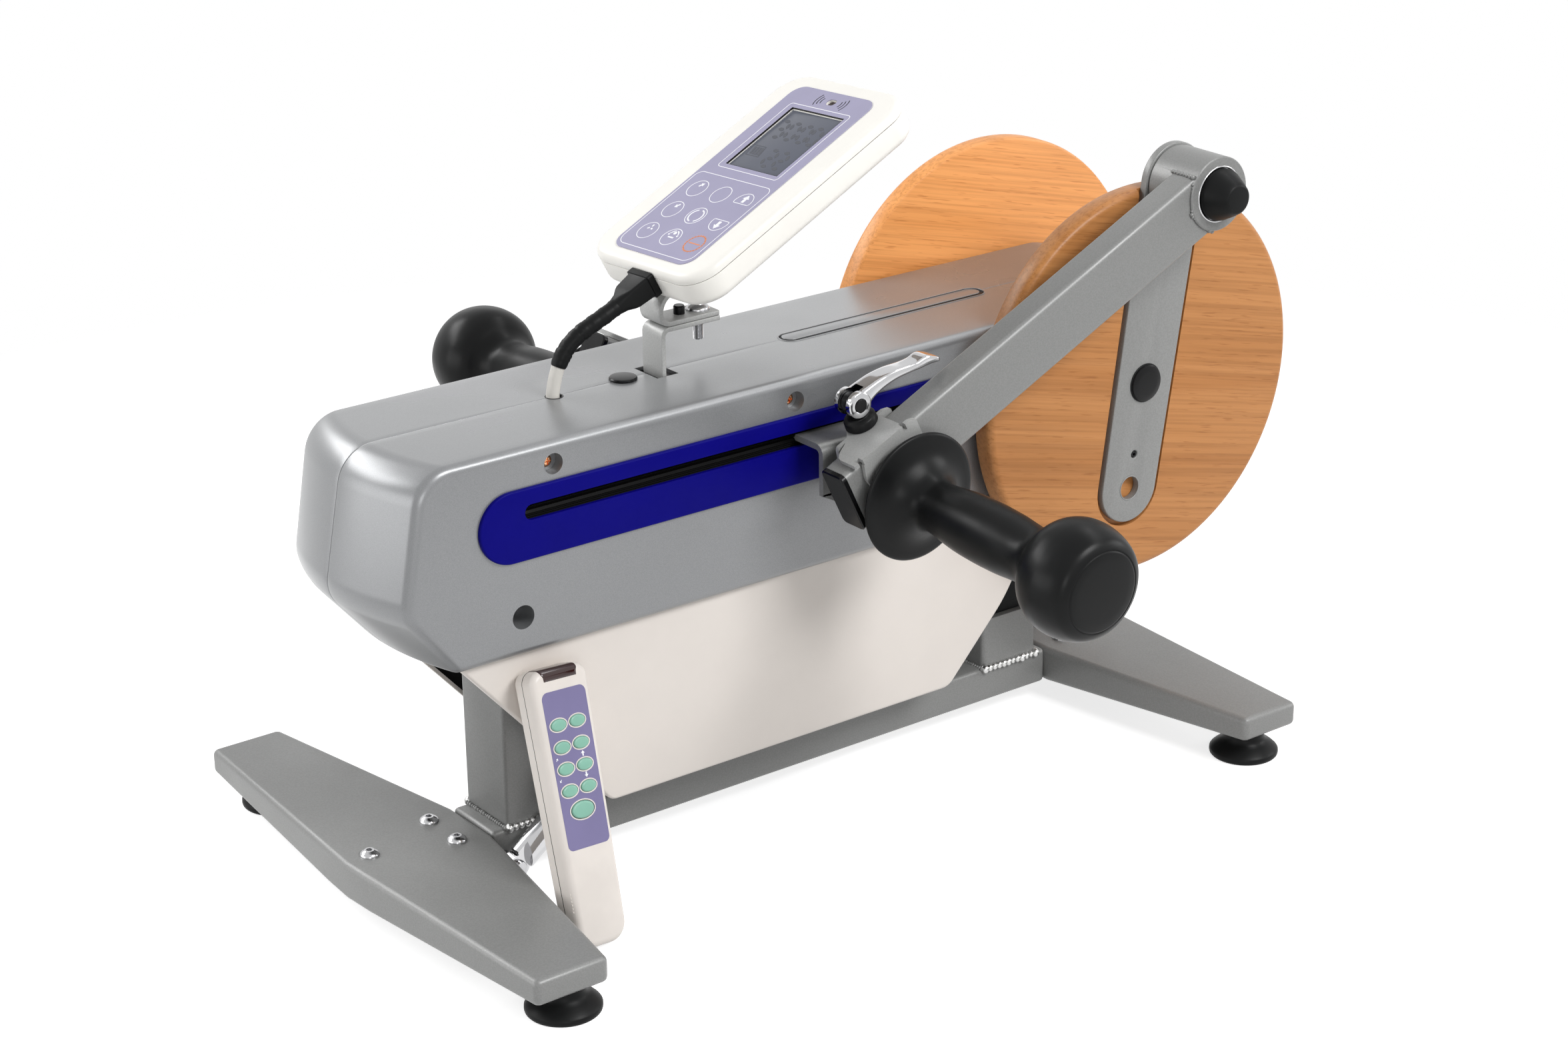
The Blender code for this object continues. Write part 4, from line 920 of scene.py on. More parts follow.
def saddle(side):
    """The clamp on the tube, with the grip's spindle."""
    h, at = HALF_H, side.at
    root, axis = grip_axis(side)
    flank = [(32, 12), (30.5, 8), (26, 4.2), (19, 1), (13, -3.4), (9, -8), (5, -14)]
    flank = smooth([(u, ARM_IN + y) for u, y in flank], 5)
    deck = [(-15, ARM_IN - 11), (-15, WALL_OUT - 1), (-14, WALL_OUT), (31, WALL_OUT), (32, WALL_OUT - 1),
            *flank, (4, ARM_IN - 14), (-12, ARM_IN - 14), (-14, ARM_IN - 13)]
    top = loft([[at(REACH + u, w, y) for u, y in deck] for w in (h + 0.3, h + 3.5)])
    wing = [(-26, h + 1, 2), (-20, h + 3.5, 5), (24, h + 3.5, 3), (28, 12, 12), (23, -10, 20), (18, -42, 6),
            (-20, -42, 6), (-26, -14, 12)]
    wing = filleted([(REACH + u, w, r) for u, w, r in wing], 0, 6)
    low = [(REACH - 20, -42), (REACH + 18, -42), (REACH + 18, -h - 0.6), (REACH - 20, -h - 0.6)]
    notches = []
    for u0, u1 in ((REACH - 16.5, REACH - 13.5), (REACH + 24.5, REACH + 28.5)):
        line = [(u0, h - 1), (u1, h - 1), (u1, h + 5), (u0, h + 5)]
        notches.append(side.plate(line, ARM_OUT - 1.5, WALL_OUT + 2))
    walls = [side.plate(wing, ARM_OUT + GAP, WALL_OUT), side.plate(wing, ARM_IN - 3.4, ARM_IN - GAP),
             side.plate(low, ARM_IN - 2, ARM_OUT + 2)]
    name = f"sleeve_{side.name}"
    piece(name, name, SADDLE, top, edge=0.9,
          add=[*walls, bar(root - axis * 4, root + axis * (GRIP_L - 12), 8)],
          cut=[side.pivot_bar(ARM_IN - 8, ARM_IN - GAP, 8.3), *notches])


def lever_post(side):
    """Stud, hinge pin and collar under the lever."""
    name, at, h = side.name, side.at, HALF_H
    on_sleeve = rider(f"sleeve_{name}")
    stud = turned([(0, 4), (CLAMP[1] - h - 2, 4)], at(CLAMP[0], h + 2, LEVER_Y), side.up, 32)
    eye = bar(at(*CLAMP, LEVER_Y - 4), at(*CLAMP, LEVER_Y + 4), 7)
    on_sleeve(f"lever_stud_{name}", BLACK, stud, add=[eye])
    pin = [(-10.2, 0), (-10.2, 4.4), (-9.6, 5), (9.6, 5), (10.2, 4.4), (10.2, 0)]
    on_sleeve(f"lever_pin_{name}", BLACK_GLOSS, turned(pin, at(*CLAMP, LEVER_Y), side.out, 32))
    collar = [(3.6, 0), (3.6, 11.4), (4.4, 12), (9.2, 11.6), (10.2, 10.9), (11.4, 8.4), (12.2, 8),
              (12.4, 0)]
    collar = turned([(h + t, r) for t, r in collar], at(CLAMP[0], 0, LEVER_Y), side.up, 56)
    on_sleeve(f"lever_collar_{name}", BLACK, collar)


def grip(side):
    """A barrel hold between a flange and a round end."""
    root, axis = grip_axis(side)
    flange = [(2.5, 9.5), (2.5, 43.8), (2.9, 45), (3.6, 46.3), (4.6, 46.8), (5.6, 46.7), (6.4, 45.8),
              (6.9, 44.2), (7.4, 40.4), (8.2, 36.4), (9.4, 32.8), (11, 29.6), (13, 26.8), (15, 24.5)]
    hold = [(17, 22.5), (20, 20.3), (24, 18.8), (28, 18.3), (33, 18.6), (40, 19.4), (49, 20.6), (58, 21.6),
            (70, 22.2), (84, 22.4), (95, 22.2), (104, 21.8), (114, 20.9), (122, 20.4), (127, 20.5),
            (131, 21.4), (134, 22.8), (137, 25), (140, 28), (143, 31.5), (147, 35.1), (151, 37.6),
            (156, 39.7), (161, 40.8), (166, 41.2), (170, 41.1), (175, 40.5), (180, 39.3), (184, 37.9),
            (188, 35.9), (190.4, 33.6), (191.8, 31.4), (192.5, 29.9)]
    end = [(192.6, 29.4), (192.2, 29.1), (192.2, 28.7), (192.8, 28.3), (193.2, 27), (193.6, 21),
           (193.9, 12), (194, 0)]
    name = f"grip_{side.name}"
    ob = piece(name, name, GRIP, turned(flange + smooth(hold, 3) + end, root, axis, 112), sharp=60,
               cut=[turned([(0, 8.3), (GRIP_L - 10, 8.3)], root, axis, 40)])


def lever(side):
    """A cam lever: each spine point has its place along, half width, height and half thickness."""
    spine = [(2, 9, -0.8, 8), (-6, 9, 0.8, 6.8), (-14, 8.6, 1.8, 5.2), (-24, 8.2, 1.4, 4.4),
             (-36, 7.6, -1, 3.7), (-48, 7.1, -5.2, 3.1), (-56, 7, -7.8, 3.3), (-62, 7.4, -8.8, 3.9),
             (-66, 7.9, -10.2, 3.6), (-70, 8.2, -12.6, 2.6), (-71.6, 8, -13.5, 2),
             (-72.2, 7.4, -13.8, 1.2)]
    at, (cu, cw) = side.at, CLAMP
    turns = [2 * pi * (k + 0.5) / 48 for k in range(48)]

    def flattened(value):
        return copysign(abs(value) ** 0.42, value)

    blade = []
    for u, half, z, thick in smooth(spine):
        blade.append([at(cu + u, cw + z + thick * flattened(sin(t)), LEVER_Y + half * flattened(cos(t)))
                      for t in turns])
    drum = [(-9.2, 0), (-9.2, 8.6), (-8.9, 9.2), (-8.2, 9.5), (8.2, 9.5), (8.9, 9.2), (9.2, 8.6), (9.2, 0)]
    mouth = [(cu - 10.5, cw - 14), (cu + 14, cw - 14), (cu + 14, cw + 14), (cu - 10.5, cw + 14)]
    name = f"lever_{side.name}"
    piece(name, name, CHROME, loft(blade), sharp=42,
          add=[turned(drum, at(*CLAMP, LEVER_Y), side.out, 72)],
          cut=[bar(at(*CLAMP, LEVER_Y - 20), at(*CLAMP, LEVER_Y + 20), 5.3, 48),
               side.plate(mouth, LEVER_Y - 4.4, LEVER_Y + 4.4)])


for name, s in SIDES:
    side = Side(name, s)
    for part in (slider, arm, crank_pin, saddle, lever_post, grip, lever):
        part(side)


# Console: case, printed film and display

CONSOLE_AT = Vector((-44.6, 3.4, 468.7))
CONSOLE_TILT, CONSOLE_TURN, CONSOLE_ROLL = rad(26.4), rad(1.8), rad(3.2)
CONSOLE_W, CONSOLE_H, CASE_D, CASE_SEAM = 132, 216, 28, 8
EYE = (-1.2, 8.2, 80.6, 87)
LCD_BOX = (-27.4, 32.7, 2.6, 71.4)
INK_Z, DIGIT_Z = (-0.2, 0.07), (-1.45, -1.33)
LEFT, MID, RIGHT = -25.5, 2, 29.5
ROWS = (-26.5, -51, -75.5)
KEY_R = 8.6
DIGIT_W, STROKE, SLANT = 8.8, 3.3, -0.28
SEGMENTS = {"0": "abcdef", "2": "abged", "3": "abgcd"}

tall = Vector((cos(CONSOLE_TILT), 0, sin(CONSOLE_TILT)))
wide, out = rolled(NEARWARD, NEARWARD.cross(tall), CONSOLE_ROLL)
turn = Matrix.Rotation(CONSOLE_TURN, 3, "Z")
wide, tall, out = turn @ wide, turn @ tall, turn @ out
on_console = rider("drive_unit", place=placed(CONSOLE_AT, wide, tall, out))


def lcd_box(grow, lo, hi):
    u0, u1, v0, v1 = LCD_BOX
    low, high, left, right = v0 - grow, v1 + grow, u0 - grow, u1 + grow
    return prism([(left, low), (right, low), (right, high), (left, high)], "z", lo, hi)


def console_case():
    rim = corners(-CONSOLE_W / 2, CONSOLE_W / 2, -CONSOLE_H / 2, CONSOLE_H / 2, 24)
    inner = filleted([(u * 0.94, v * 0.95, 20) for u, v, r in rim])
    seam = filleted([(u * 0.994, v * 0.996, 24) for u, v, r in rim], 0, 12)
    on_console("console_front", WHITE,
               cushioned(rim, "z", -CASE_SEAM, -0.6, 5, seg=16, steps=7, round_lo=0.5),
               cut=[prism(inner, "z", -CASE_SEAM - 3, -3.6), lcd_box(0.3, -5, 2),
                    stadium(*EYE, "z", -3, 3)])
    on_console("console_back", WHITE,
               cushioned(rim, "z", -CASE_SEAM - 0.3, -CASE_D, 7, seg=16, steps=7, round_lo=0.5),
               cut=[prism(inner, "z", -CASE_SEAM + 1, 3 - CASE_D)])
    on_console("console_seam", BLACK_GLOSS, prism(seam, "z", -CASE_SEAM - 0.4, -CASE_SEAM + 0.1))
    on_console("console_display", LCD, lcd_box(-0.2, -6, -1.4), edge=0.3)
    film = filleted(corners(-45, 45, -96.5, 94, 11), 0, 12)
    on_console("console_overlay", LAVENDER, prism(film, "z", -0.5, 0),
               cut=[lcd_box(-0.4, -2, 2), stadium(*EYE, "z", -1.6, 3)])


def strip(points, w, z=INK_Z, loop=False):
    """A flat band of width w along points."""
    pts = [Vector(p) for p in points]
    n = len(pts)
    sides = []
    for i, p in enumerate(pts):
        a = pts[i - 1] if i or loop else p
        b = pts[(i + 1) % n] if i < n - 1 or loop else p
        d, widen = (b - a).normalized(), 1
        if loop or 0 < i < n - 1:
            after = (b - p).normalized()
            d = ((p - a).normalized() + after).normalized()
            widen = 1 / max(0.4, d.dot(after))
        half = Vector((-d.y, d.x)) * (w / 2 * widen)
        sides.append((p + half, p - half))
    bm, (lo, hi) = bmesh.new(), z
    rows = [[bm.verts.new((*q, t)) for q, t in ((a, lo), (b, lo), (b, hi), (a, hi))] for a, b in sides]
    for i in range(n if loop else n - 1):
        p, q = rows[i], rows[(i + 1) % n]
        for j in range(4):
            bm.faces.new((p[j], p[(j + 1) % 4], q[(j + 1) % 4], q[j]))
    if not loop:
        bm.faces.new(rows[0])
        bm.faces.new(rows[-1])
    return closed(bm)


def circle(x, y, r, n=48, a0=0, a1=360):
    turns = [rad(a0 + (a1 - a0) * k / n) for k in range(n if a1 - a0 >= 360 else n + 1)]
    return [(x + r * cos(t), y + r * sin(t)) for t in turns]


def flat(points, z=INK_Z):
    return prism(points, "z", *z)


def arrow(x, y, angle, size, z=INK_Z, slim=0.30):
    """A block arrow that points along angle, size long."""
    half, stem, wing = size / 2, size * slim / 2, size * 0.42
    pts = [(-half, -stem), (0, -stem), (0, -wing), (half, 0), (0, wing), (0, stem), (-half, stem)]
    c, d = cos(rad(angle)), sin(rad(angle))
    return flat([(x + a * c - b * d, y + a * d + b * c) for a, b in pts], z)


def rays(x, y, r0, r1, w, start, n):
    """Short straight lines that point away from a centre."""
    ways = [(cos(rad(start + 360 / n * k)), sin(rad(start + 360 / n * k))) for k in range(n)]
    return [strip([(x + r0 * c, y + r0 * d), (x + r1 * c, y + r1 * d)], w) for c, d in ways]


def tapered(low, v0, r0, high, v1, r1):
    """Corners of a form from half width low at v0 to half width high at v1."""
    return [(-low, v0, r0), (low, v0, r0), (high, v1, r1), (-high, v1, r1)]


def key_prints():
    """Frames, rings, arrows and marks on the console's film."""
    shapes = [strip(filleted(corners(-32.5, 36, -1, 75, 3), 0, 8), 0.6, loop=True),
              strip(filleted(tapered(42.5, -92.6, 8, 42.5, -9.6, 6), 0, 8), 0.6, loop=True)]
    shapes += [strip(circle(x, y, KEY_R), 0.6, loop=True) for y in ROWS for x in (LEFT, MID)]
    shapes += [strip(circle(MID, ROWS[1], 6.2, 30, a0, a1), 1.2) for a0, a1 in ((115, 262), (-62, 82))]
    turns = [rad(4.5 * j) for j in range(41)]
    arch = [(KEY_R * cos(t), KEY_R * 1.05 * sin(t) - 2.4) for t in turns]
    arch += [(-8.4, -3.6), (-7.6, -4.4), (7.6, -4.4), (8.4, -3.6)]
    for x, y, k in ((28.5, -25.5, 1), (30, -53, -1)):
        shapes.append(strip([(x + u, y + k * v) for u, v in arch], 0.6, loop=True))
        shapes.append(arrow(x, y + k, 90 * k, 8, slim=0.36))
    shapes += [arrow(LEFT + 0.5, ROWS[0] + 4.2, 50, 5.2), arrow(LEFT + 0.5, ROWS[1] + 4.2, 230, 5.2)]
    shapes += rays(LEFT, ROWS[2] + 3.2, 1, 3.2, 1.4, 90, 3)
    shapes.append(flat(circle(MID, ROWS[2] + 4.2, 1.5, 24)))
    shapes += [strip(circle(MID, ROWS[2] + 2.6, 4, 14, a0, a0 + 65), 1) for a0 in (15, 100)]
    shapes += [arrow(MID + k * 4.7, ROWS[2] + 2.4, k * 10 - 90, 3, slim=0.2) for k in (1, -1)]
    shapes.append(strip([(MID - 3, ROWS[2] - 0.4), (MID + 3, ROWS[2] - 0.4)], 1.3))
    on_console("console_print", PRINT, joined(*shapes), sharp=60)


def start_print():
    y = ROWS[2]
    shapes = [strip(circle(RIGHT, y, 8.3), 0.8, loop=True), strip([(RIGHT - 6.2, y), (RIGHT + 6.2, y)], 0.9)]
    shapes += rays(RIGHT, y, 7.8, 9.3, 0.8, 0, 24)
    on_console("console_start_print", ORANGE, joined(*shapes), sharp=60)


def eye_prints():
    waves = [strip(circle(3.5 + s * 5.2, 83.6, 2.4 + 2.9 * k, 14, a0, a0 + 64), 0.7)
             for k in (1, 2, 3) for s, a0 in ((1, -32), (-1, 148))]
    on_console("console_waves", BLACK_GLOSS, joined(*waves), slot="overlay", sharp=60)
    on_console("console_eye", WINDOW, stadium(*EYE, "z", -2.9, -2.4))


def segment(long):
    """The outline of one segment: pairs of the distance along it and across it."""
    t = STROKE
    return [(t * 0.35, 0), (t * 0.9, t / 2), (long - t * 0.9, t / 2), (long - t * 0.35, 0),
            (long - t * 0.9, -t / 2), (t * 0.9, -t / 2)]


def digit(char, x, y, high):
    """A seven-segment digit with its lower left corner at x, y."""
    w, m = DIGIT_W, high / 2
    outlines = {part: [(a, v + b) for a, b in segment(w)] for part, v in (("a", high), ("g", m), ("d", 0))}
    for part, u, v in (("f", 0, m), ("e", 0, 0), ("b", w, m), ("c", w, 0)):
        outlines[part] = [(u + b, v + a) for a, b in segment(m)]
    return [flat([(x + a + SLANT * b, y + b) for a, b in outlines[part]], DIGIT_Z) for part in SEGMENTS[char]]


def display_parts():
    u0, u1, v0, v1 = LCD_BOX
    bars = [slab(a, b, c, d, -1.6, -0.05) for a, b, c, d in ((u0, u0 + 0.8, v0, v1), (u1 - 0.8, u1, v0, v1),
                                                             (u0, u1, v0, v0 + 0.8), (u0, u1, v1 - 0.8, v1))]
    on_console("display_frame", BLACK_GLOSS, joined(*bars), sharp=60)
    bevel = [(u0 + 0.9, v1 - 0.9), (u1 - 1, v1 - 0.9), (u1 - 1, v1 - 1.8), (u0 + 1.8, v1 - 1.8),
             (u0 + 1.8, v0 + 1), (u0 + 0.9, v0 + 1)]
    on_console("display_bevel", WHITE, joined(flat(bevel, (-1.5, -1.15))), sharp=60)
    shapes = []
    for char, x in (("3", -17.5), ("0", -4.5), ("0", 9), ("0", 20.8)):
        shapes += digit(char, x, 40, 17.5)
    shapes += [flat(circle(x, y, 1, 12), DIGIT_Z) for x, y in ((5.2, 45.4), (3.4, 52.2))]
    for x in (3, 15.6):
        shapes += digit("2", x, 10.5, 17)
    for x in (-19, -16, -13, -10):
        shapes.append(flat([(x, 19), (x + 2.2, 19), (x + 0.4, 27), (x - 1.8, 27)], DIGIT_Z))
    shapes.append(strip([(-21.4, 17.6), (-24, 28.4), (-9.6, 28.4), (-7, 17.6)], 0.7, DIGIT_Z, True))
    on_console("display_digits", SEGMENT, joined(*shapes), sharp=60)


for part in (console_case, key_prints, start_print, eye_prints, display_parts):
    part()


# Bracket: one bent plate from the flat seat up to the console's back, on a strap that comes out of the roof

BAR_HALF, BAR_THICK = 12, 3.5
BOLT_X, PIN_X, SEAT_X, BAR_Z = -90.5, -106.5, -100, 377.05
STRAP_X, STRAP_Z, FOLD_R = -128.25, 373.25, 5


def bezier(p0, p1, p2, p3, n):
    return [p0 * (1 - t) ** 3 + p1 * 3 * t * (1 - t) ** 2 + p2 * 3 * t * t * (1 - t) + p3 * t ** 3
            for t in (k / n for k in range(n + 1))]


def ribbon(path, widths):
    """The flat bar bent along a path; widths holds the direction across it at each point."""
    section = filleted(corners(-BAR_HALF, BAR_HALF, -BAR_THICK / 2, BAR_THICK / 2, 0.7), 0, 3)
    rings = []
    for p, w, side_way in zip(path, headings(path), widths):
        side_way = (side_way - w * side_way.dot(w)).normalized()
        rings.append([p + side_way * u + w.cross(side_way) * v for u, v in section])
    return loft(rings)


def upright(x, lo, hi, r):
    return bar((x, 0, lo), (x, 0, hi), r, 24)


def console_bracket():
    start, bend_at = Vector((-80.6, 0, BAR_Z)), Vector((-122, 0, BAR_Z))
    heel = CONSOLE_AT - out * (CASE_D + 2.1) - tall * 104
    knee = heel + tall * 3 - wide * 2
    path = [start, Vector((SEAT_X, 0, BAR_Z))]
    path += bezier(bend_at, bend_at - Vector((10.5, 0, 0)), knee - tall * 10.5, knee, 14)
    path += [heel + tall * up - wide * 2 for up in (40, 91)]
    widths = [NEARWARD, NEARWARD, *(NEARWARD.lerp(wide, k / 14) for k in range(15)), wide, wide]
    on_unit("console_bracket", BRACKET, ribbon(path, widths), sharp=50,
            cut=[upright(BOLT_X, 370, 382, 4.2), upright(PIN_X, 374, 382, 4.05)])
    fold_z = STRAP_Z - FOLD_R
    path = [Vector((STRAP_X, 0, z)) for z in (297, 330, fold_z)]
    path += [Vector((STRAP_X + FOLD_R * (1 - cos(t)), 0, fold_z + FOLD_R * sin(t))) for t in quarter(10)[1:]]
    path += [Vector((x, 0, STRAP_Z)) for x in (SEAT_X, -80.2)]
    on_unit("console_strap", BRACKET, ribbon(path, [NEARWARD] * len(path)), sharp=50,
            cut=[upright(BOLT_X, 365, 382, 4.2)])


def bracket_bolt():
    button_screw("bracket_screw", "drive_unit", (BOLT_X, 0, 379.3), r=8.2, high=4.6)
    thread = [(0, 0), (0, 3.2)]
    for k in range(14):
        thread += [(0.3 + k, 3.25), (0.8 + k, 4)]
    thread += [(14.4, 3.3), (14.9, 2.6), (14.9, 0)]
    on_unit("bracket_thread", CHROME, turned(thread, (BOLT_X, 0, 357.2), UP, 32), slot="steel")
    washer = [(0, 0), (0, 8.6), (0.8, 8.6), (0.8, 0)]
    on_unit("bracket_washer", SATIN, turned(washer, (BOLT_X, 0, 378.75), UP, 40))
    pin = [(-2, 0), (-2, 4), (7.6, 4), (8.4, 3.4), (8.4, 0)]
    on_unit("bracket_pin", BLACK_GLOSS, turned(pin, (PIN_X, 0, 376.6), UP, 32))
    on_unit("roof_slot_floor", BLACK_GLOSS, slab(HATCH_X0 + 0.2, HATCH_X1 - 0.2, -13.8, 13.8, 337.5, 338.5),
            cut=[slab(-130.5, -126, -12.5, 12.5, 330, 345)])


console_bracket()
bracket_bolt()


# Lead: flanged boot, black sleeve, grey cable

def lead():
    plug = CONSOLE_AT + wide * 4.8 - out * 12.5 - tall * (CONSOLE_H / 2 + 0.4)
    boot = [(0, 12.6, 9, 2), (4.6, 12.6, 9, 2), (5, 11.4, 8.2, 2), (6, 10.9, 7.9, 2),
            (18, 9.8, 7.4, 2.2), (20.5, 9, 7.2, 3), (25, 6.6, 6.4, 4.5), (30, 5.9, 5.9, 5.5)]
    boot = loft([[plug - tall * t + wide * u + out * v for u, v in filleted(corners(-w, w, -h, h, r), 0, 6)]
                 for t, w, h, r in boot])
    p0, p3 = plug - tall * 27, Vector((-213, 0, 343))
    path = bezier(p0, p0 - tall * 34, p3 + Vector((9, 2, 40)), p3, 60)
    cut_at = 50
    sleeve = [5.9 + 0.16 * sin(k * 0.9) + 0.12 * sin(k * 2.3 + 1) + (0.25 if k in (24, 25, 41, 42) else 0)
              for k in range(cut_at - 1)] + [5.2]
    on_unit("console_lead", BLACK, joined(boot, swept(path[:cut_at], sleeve, 28)), sharp=40)
    cable = path[cut_at - 4:] + [Vector((-213.5, 0, 322))]
    on_unit("lead_cable", LEAD, swept(cable, [4.7] * len(cable), 28), sharp=60)
    on_unit("lead_grommet", BLACK_GLOSS, ring((LEAD_X, 0, 340.6), UP, 6, 0.7))


lead()


# Hand remote

REMOTE_AT = (-276.4, -110.2, 120.9)
REMOTE_TURN, REMOTE_LEAN, REMOTE_ROLL = rad(7.1), rad(18.5), rad(-5.3)
KEYS = [("p", -8.6, 31.9), ("scan", 7.4, 31.9), ("raise", -8.6, 16.6), ("fast", 7.4, 16.8),
        ("lower", -8.6, 1.9), ("slow", 7.4, 1.9), ("active", -8.6, -13.1), ("passive", 7.4, -12.9),
        ("start", -0.6, -27.4)]
KEY_SQUASH, START_SIZE = 0.63, 1.45


def remote_place():
    level = Vector((sin(REMOTE_TURN), -cos(REMOTE_TURN), 0))
    face, top = rolled(level, UP, REMOTE_LEAN)
    right, top = rolled(Vector((cos(REMOTE_TURN), sin(REMOTE_TURN), 0)), top, REMOTE_ROLL)
    return placed(REMOTE_AT, right, top, face)


HELD = remote_place()
on_remote = rider("remote", place=HELD)


def size_of(name):
    return START_SIZE if name == "start" else 1


def oval(profile, name, x, y):
    bm = turned([(t, r * size_of(name)) for t, r in profile], (0, 0, 0), UP, 48)
    squash = Matrix.Translation((x, y, 0)) @ Matrix.Diagonal((1, KEY_SQUASH, 1, 1))
    bmesh.ops.transform(bm, matrix=squash, verts=bm.verts)
    return closed(bm)


def pockets():
    return [oval([(-2.4, 6.9), (2, 6.9)], *key) for key in KEYS]


def remote_case():
    case = cushioned(tapered(20.5, -121, 14, 24, 70, 9), "z", -22, 0, 5, seg=14, steps=7, round_lo=4)
    on_remote("remote_case", REMOTE, case, cut=pockets())
    panel = filleted(tapered(17.6, -53, 4, 18.6, 55, 5), 0, 8)
    on_remote("remote_panel", PURPLE, prism(panel, "z", -0.3, 0.12), cut=pockets())
    window = [(-17.6, 58.5, 2), (16.6, 58.5, 2), (17.6, 70.4, 4), (-18.6, 70.4, 4)]
    on_remote("remote_window", WINDOW, cushioned(window, "z", -13, 0.3, 5.2, seg=8, steps=7), sharp=60)
    seam = filleted(tapered(20.7, -121.1, 14, 24.1, 70.1, 9), 0, 12)
    on_remote("remote_seam", BLACK_GLOSS, prism(seam, "z", -12.15, -11.85))
    ribs = [prism([(-21, y), (-18, y), (-18, y + 1.1), (-21, y + 1.1)], "z", -9.5, -2.6)
            for y in (-82 - 2.4 * k for k in range(6))]
    on_remote("remote_ribs", REMOTE, joined(*ribs))


def remote_key(name, x, y):
    cap = [(-1.2, 6.4), (0.5, 6.4), (0.95, 6.1), (1.25, 5.5), (1.4, 4.6), (1.45, 0)]
    piece(f"key_{name}", f"key_{name}", MINT, oval(cap, name, x, y), place=HELD, sharp=50)
    r = 7.3 * size_of(name)
    outer = [(x + r * cos(t), y + r * KEY_SQUASH * sin(t)) for t in (2 * pi * k / 40 for k in range(40))]
    on_remote(f"key_rim_{name}", REMOTE, strip(outer, 0.8, (0, 0.3), True), sharp=60)


remote_case()
for key in KEYS:
    remote_key(*key)
marks = [arrow(x, y, angle, size, (0, 0.2), slim)
         for x, y, angle, size, slim in ((7.4, 9.4, 90, 3.8, 0.3), (7.4, -5.2, -90, 3.8, 0.3),
                                         (-14.6, 9.4, 50, 2.4, 0.2), (-14.6, -5.2, 230, 2.4, 0.2))]
on_remote("remote_print", PRINT, joined(*marks), sharp=60)


# Floor, lamps and world, in metres

FLOOR_TONE, FLOOR_GLOW, WORLD_LEVEL = 0.62, 0.74, 0.17
FLOOR_HALF, FADE_FROM, FADE_TO = 9, 0.7, 1.3
WHITE_LIGHT = (1, 1, 1, 1)
# Each lamp's name, place, aim, size and watts
LAMPS = (("key", (0.5, -2.05, 2.05), (0, 0, 0.2), (1.3, 0.9), 55),
         ("back", (-1.16, 1.66, 1.60), (-0.3, 0, 0.3), (2.1, 0.7), 36),
         ("nose", (-1.9, 0.50, 0.44), (-0.35, 0, 0.25), (1.7, 0.8), 12),
         ("roof", (1.05, 1.9, 0.95), (-0.1, 0, 0.2), (1.2, 0.6), 0.9),
         ("rim", (1.25, -0.2, 2.2), (0, -0.06, 0.34), (2, 0.35), 9),
         ("side", (2.4, -1.2, 1), (0.2, 0, 0.25), (1, 0.8), 14),
         ("edge", (-1.35, -2.2, 0.55), (-0.35, 0, 0.25), (0.6, 0.5), 7))


def lamp(name, at, aim, size, power):
    light = bpy.data.lights.new(name, "AREA")
    light.shape, light.size, light.size_y = "RECTANGLE", *size
    light.energy = power
    ob = bpy.data.objects.new(name, light)
    scene.collection.objects.link(ob)
    ob.location = at
    ob.rotation_euler = (Vector(aim) - Vector(at)).to_track_quat("-Z", "Y").to_euler()


def seen_directly(t):
    """One for camera, glossy and transmission rays, which see the plain white background."""
    ray = t.nodes.new("ShaderNodeLightPath")
    most = ray.outputs["Is Camera Ray"]
    for name in ("Is Glossy Ray", "Is Transmission Ray"):
        either = t.nodes.new("ShaderNodeMath")
        either.operation = "MAXIMUM"
        t.links.new(most, either.inputs[0])
        t.links.new(ray.outputs[name], either.inputs[1])
        most = either.outputs[0]
    return most


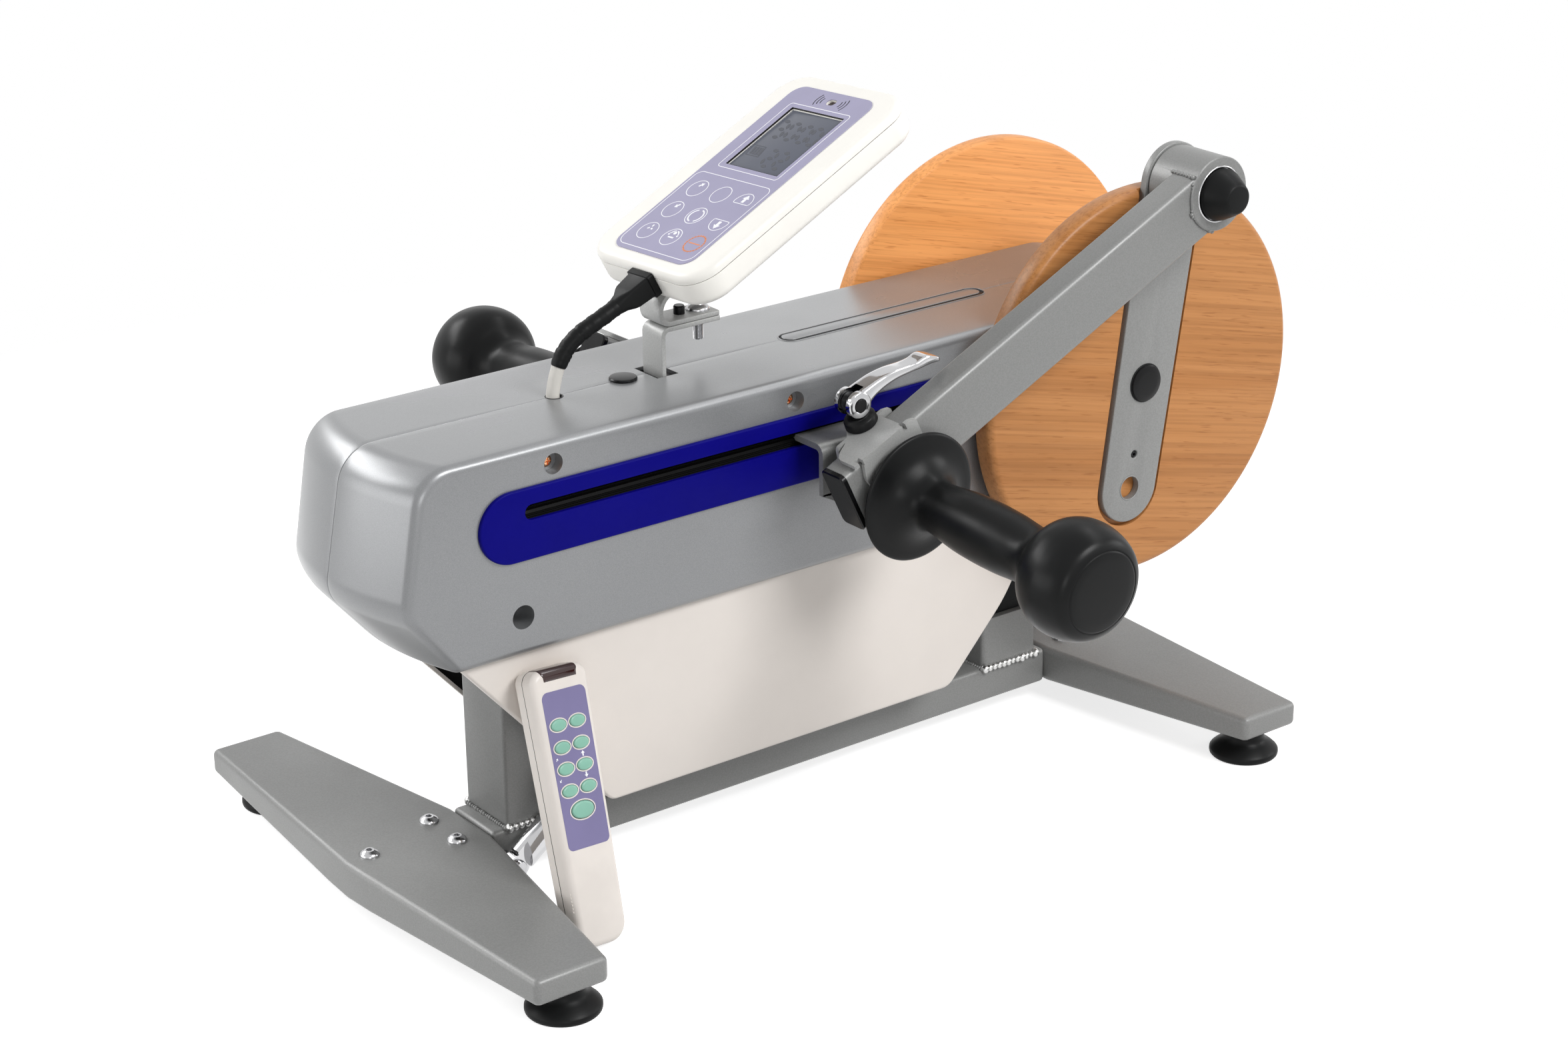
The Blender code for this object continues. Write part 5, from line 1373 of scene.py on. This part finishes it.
def white_floor():
    """A pale floor that is plain white to the eye away from the object's shadow."""
    n = Nodes("floor", (FLOOR_TONE,) * 3, 0.9, Specular_IOR_Level=0)
    seen = seen_directly(n.t)
    glow, plain = n.add("ShaderNodeEmission"), n.add("ShaderNodeEmission")
    near = n.add("ShaderNodeAddShader")
    n.link(n.b.outputs["BSDF"], near.inputs[0])
    n.link(glow.outputs["Emission"], near.inputs[1])
    gain = n.add("ShaderNodeMath", operation="MULTIPLY")
    gain.inputs[1].default_value = FLOOR_GLOW
    n.link(seen, gain.inputs[0])
    n.link(gain.outputs[0], glow.inputs["Strength"])
    far = n.add("ShaderNodeVectorMath", operation="LENGTH")
    n.link(n.add("ShaderNodeTexCoord").outputs["Object"], far.inputs[0])
    fade = n.add("ShaderNodeMapRange")
    fade.inputs["From Min"].default_value, fade.inputs["From Max"].default_value = FADE_FROM, FADE_TO
    n.link(far.outputs["Value"], fade.inputs["Value"])
    both = n.add("ShaderNodeMath", operation="MULTIPLY")
    n.link(fade.outputs["Result"], both.inputs[0])
    n.link(seen, both.inputs[1])
    mix = n.add("ShaderNodeMixShader")
    n.link(both.outputs[0], mix.inputs["Fac"])
    n.link(near.outputs["Shader"], mix.inputs[1])
    n.link(plain.outputs["Emission"], mix.inputs[2])
    n.link(mix.outputs["Shader"], n.t.nodes["Material Output"].inputs["Surface"])
    return n.m


def white_world():
    """Soft light from all round that is plain white to the eye."""
    scene.world = bpy.data.worlds.new("world")
    scene.world.use_nodes = True
    t = scene.world.node_tree
    dim, white = t.nodes["Background"], t.nodes.new("ShaderNodeBackground")
    dim.inputs["Color"].default_value = white.inputs["Color"].default_value = WHITE_LIGHT
    dim.inputs["Strength"].default_value = WORLD_LEVEL
    mixer = t.nodes.new("ShaderNodeMixShader")
    t.links.new(seen_directly(t), mixer.inputs["Fac"])
    t.links.new(dim.outputs["Background"], mixer.inputs[1])
    t.links.new(white.outputs["Background"], mixer.inputs[2])
    t.links.new(mixer.outputs["Shader"], t.nodes["World Output"].inputs["Surface"])


floor = bpy.data.objects.new("floor", bpy.data.meshes.new("floor"))
bm = bmesh.new()
bmesh.ops.create_grid(bm, x_segments=1, y_segments=1, size=FLOOR_HALF)
bm.to_mesh(floor.data)
scene.collection.objects.link(floor)
floor.data.materials.append(white_floor())
for row in LAMPS:
    lamp(*row)
white_world()

scene.view_settings.view_transform = "Standard"
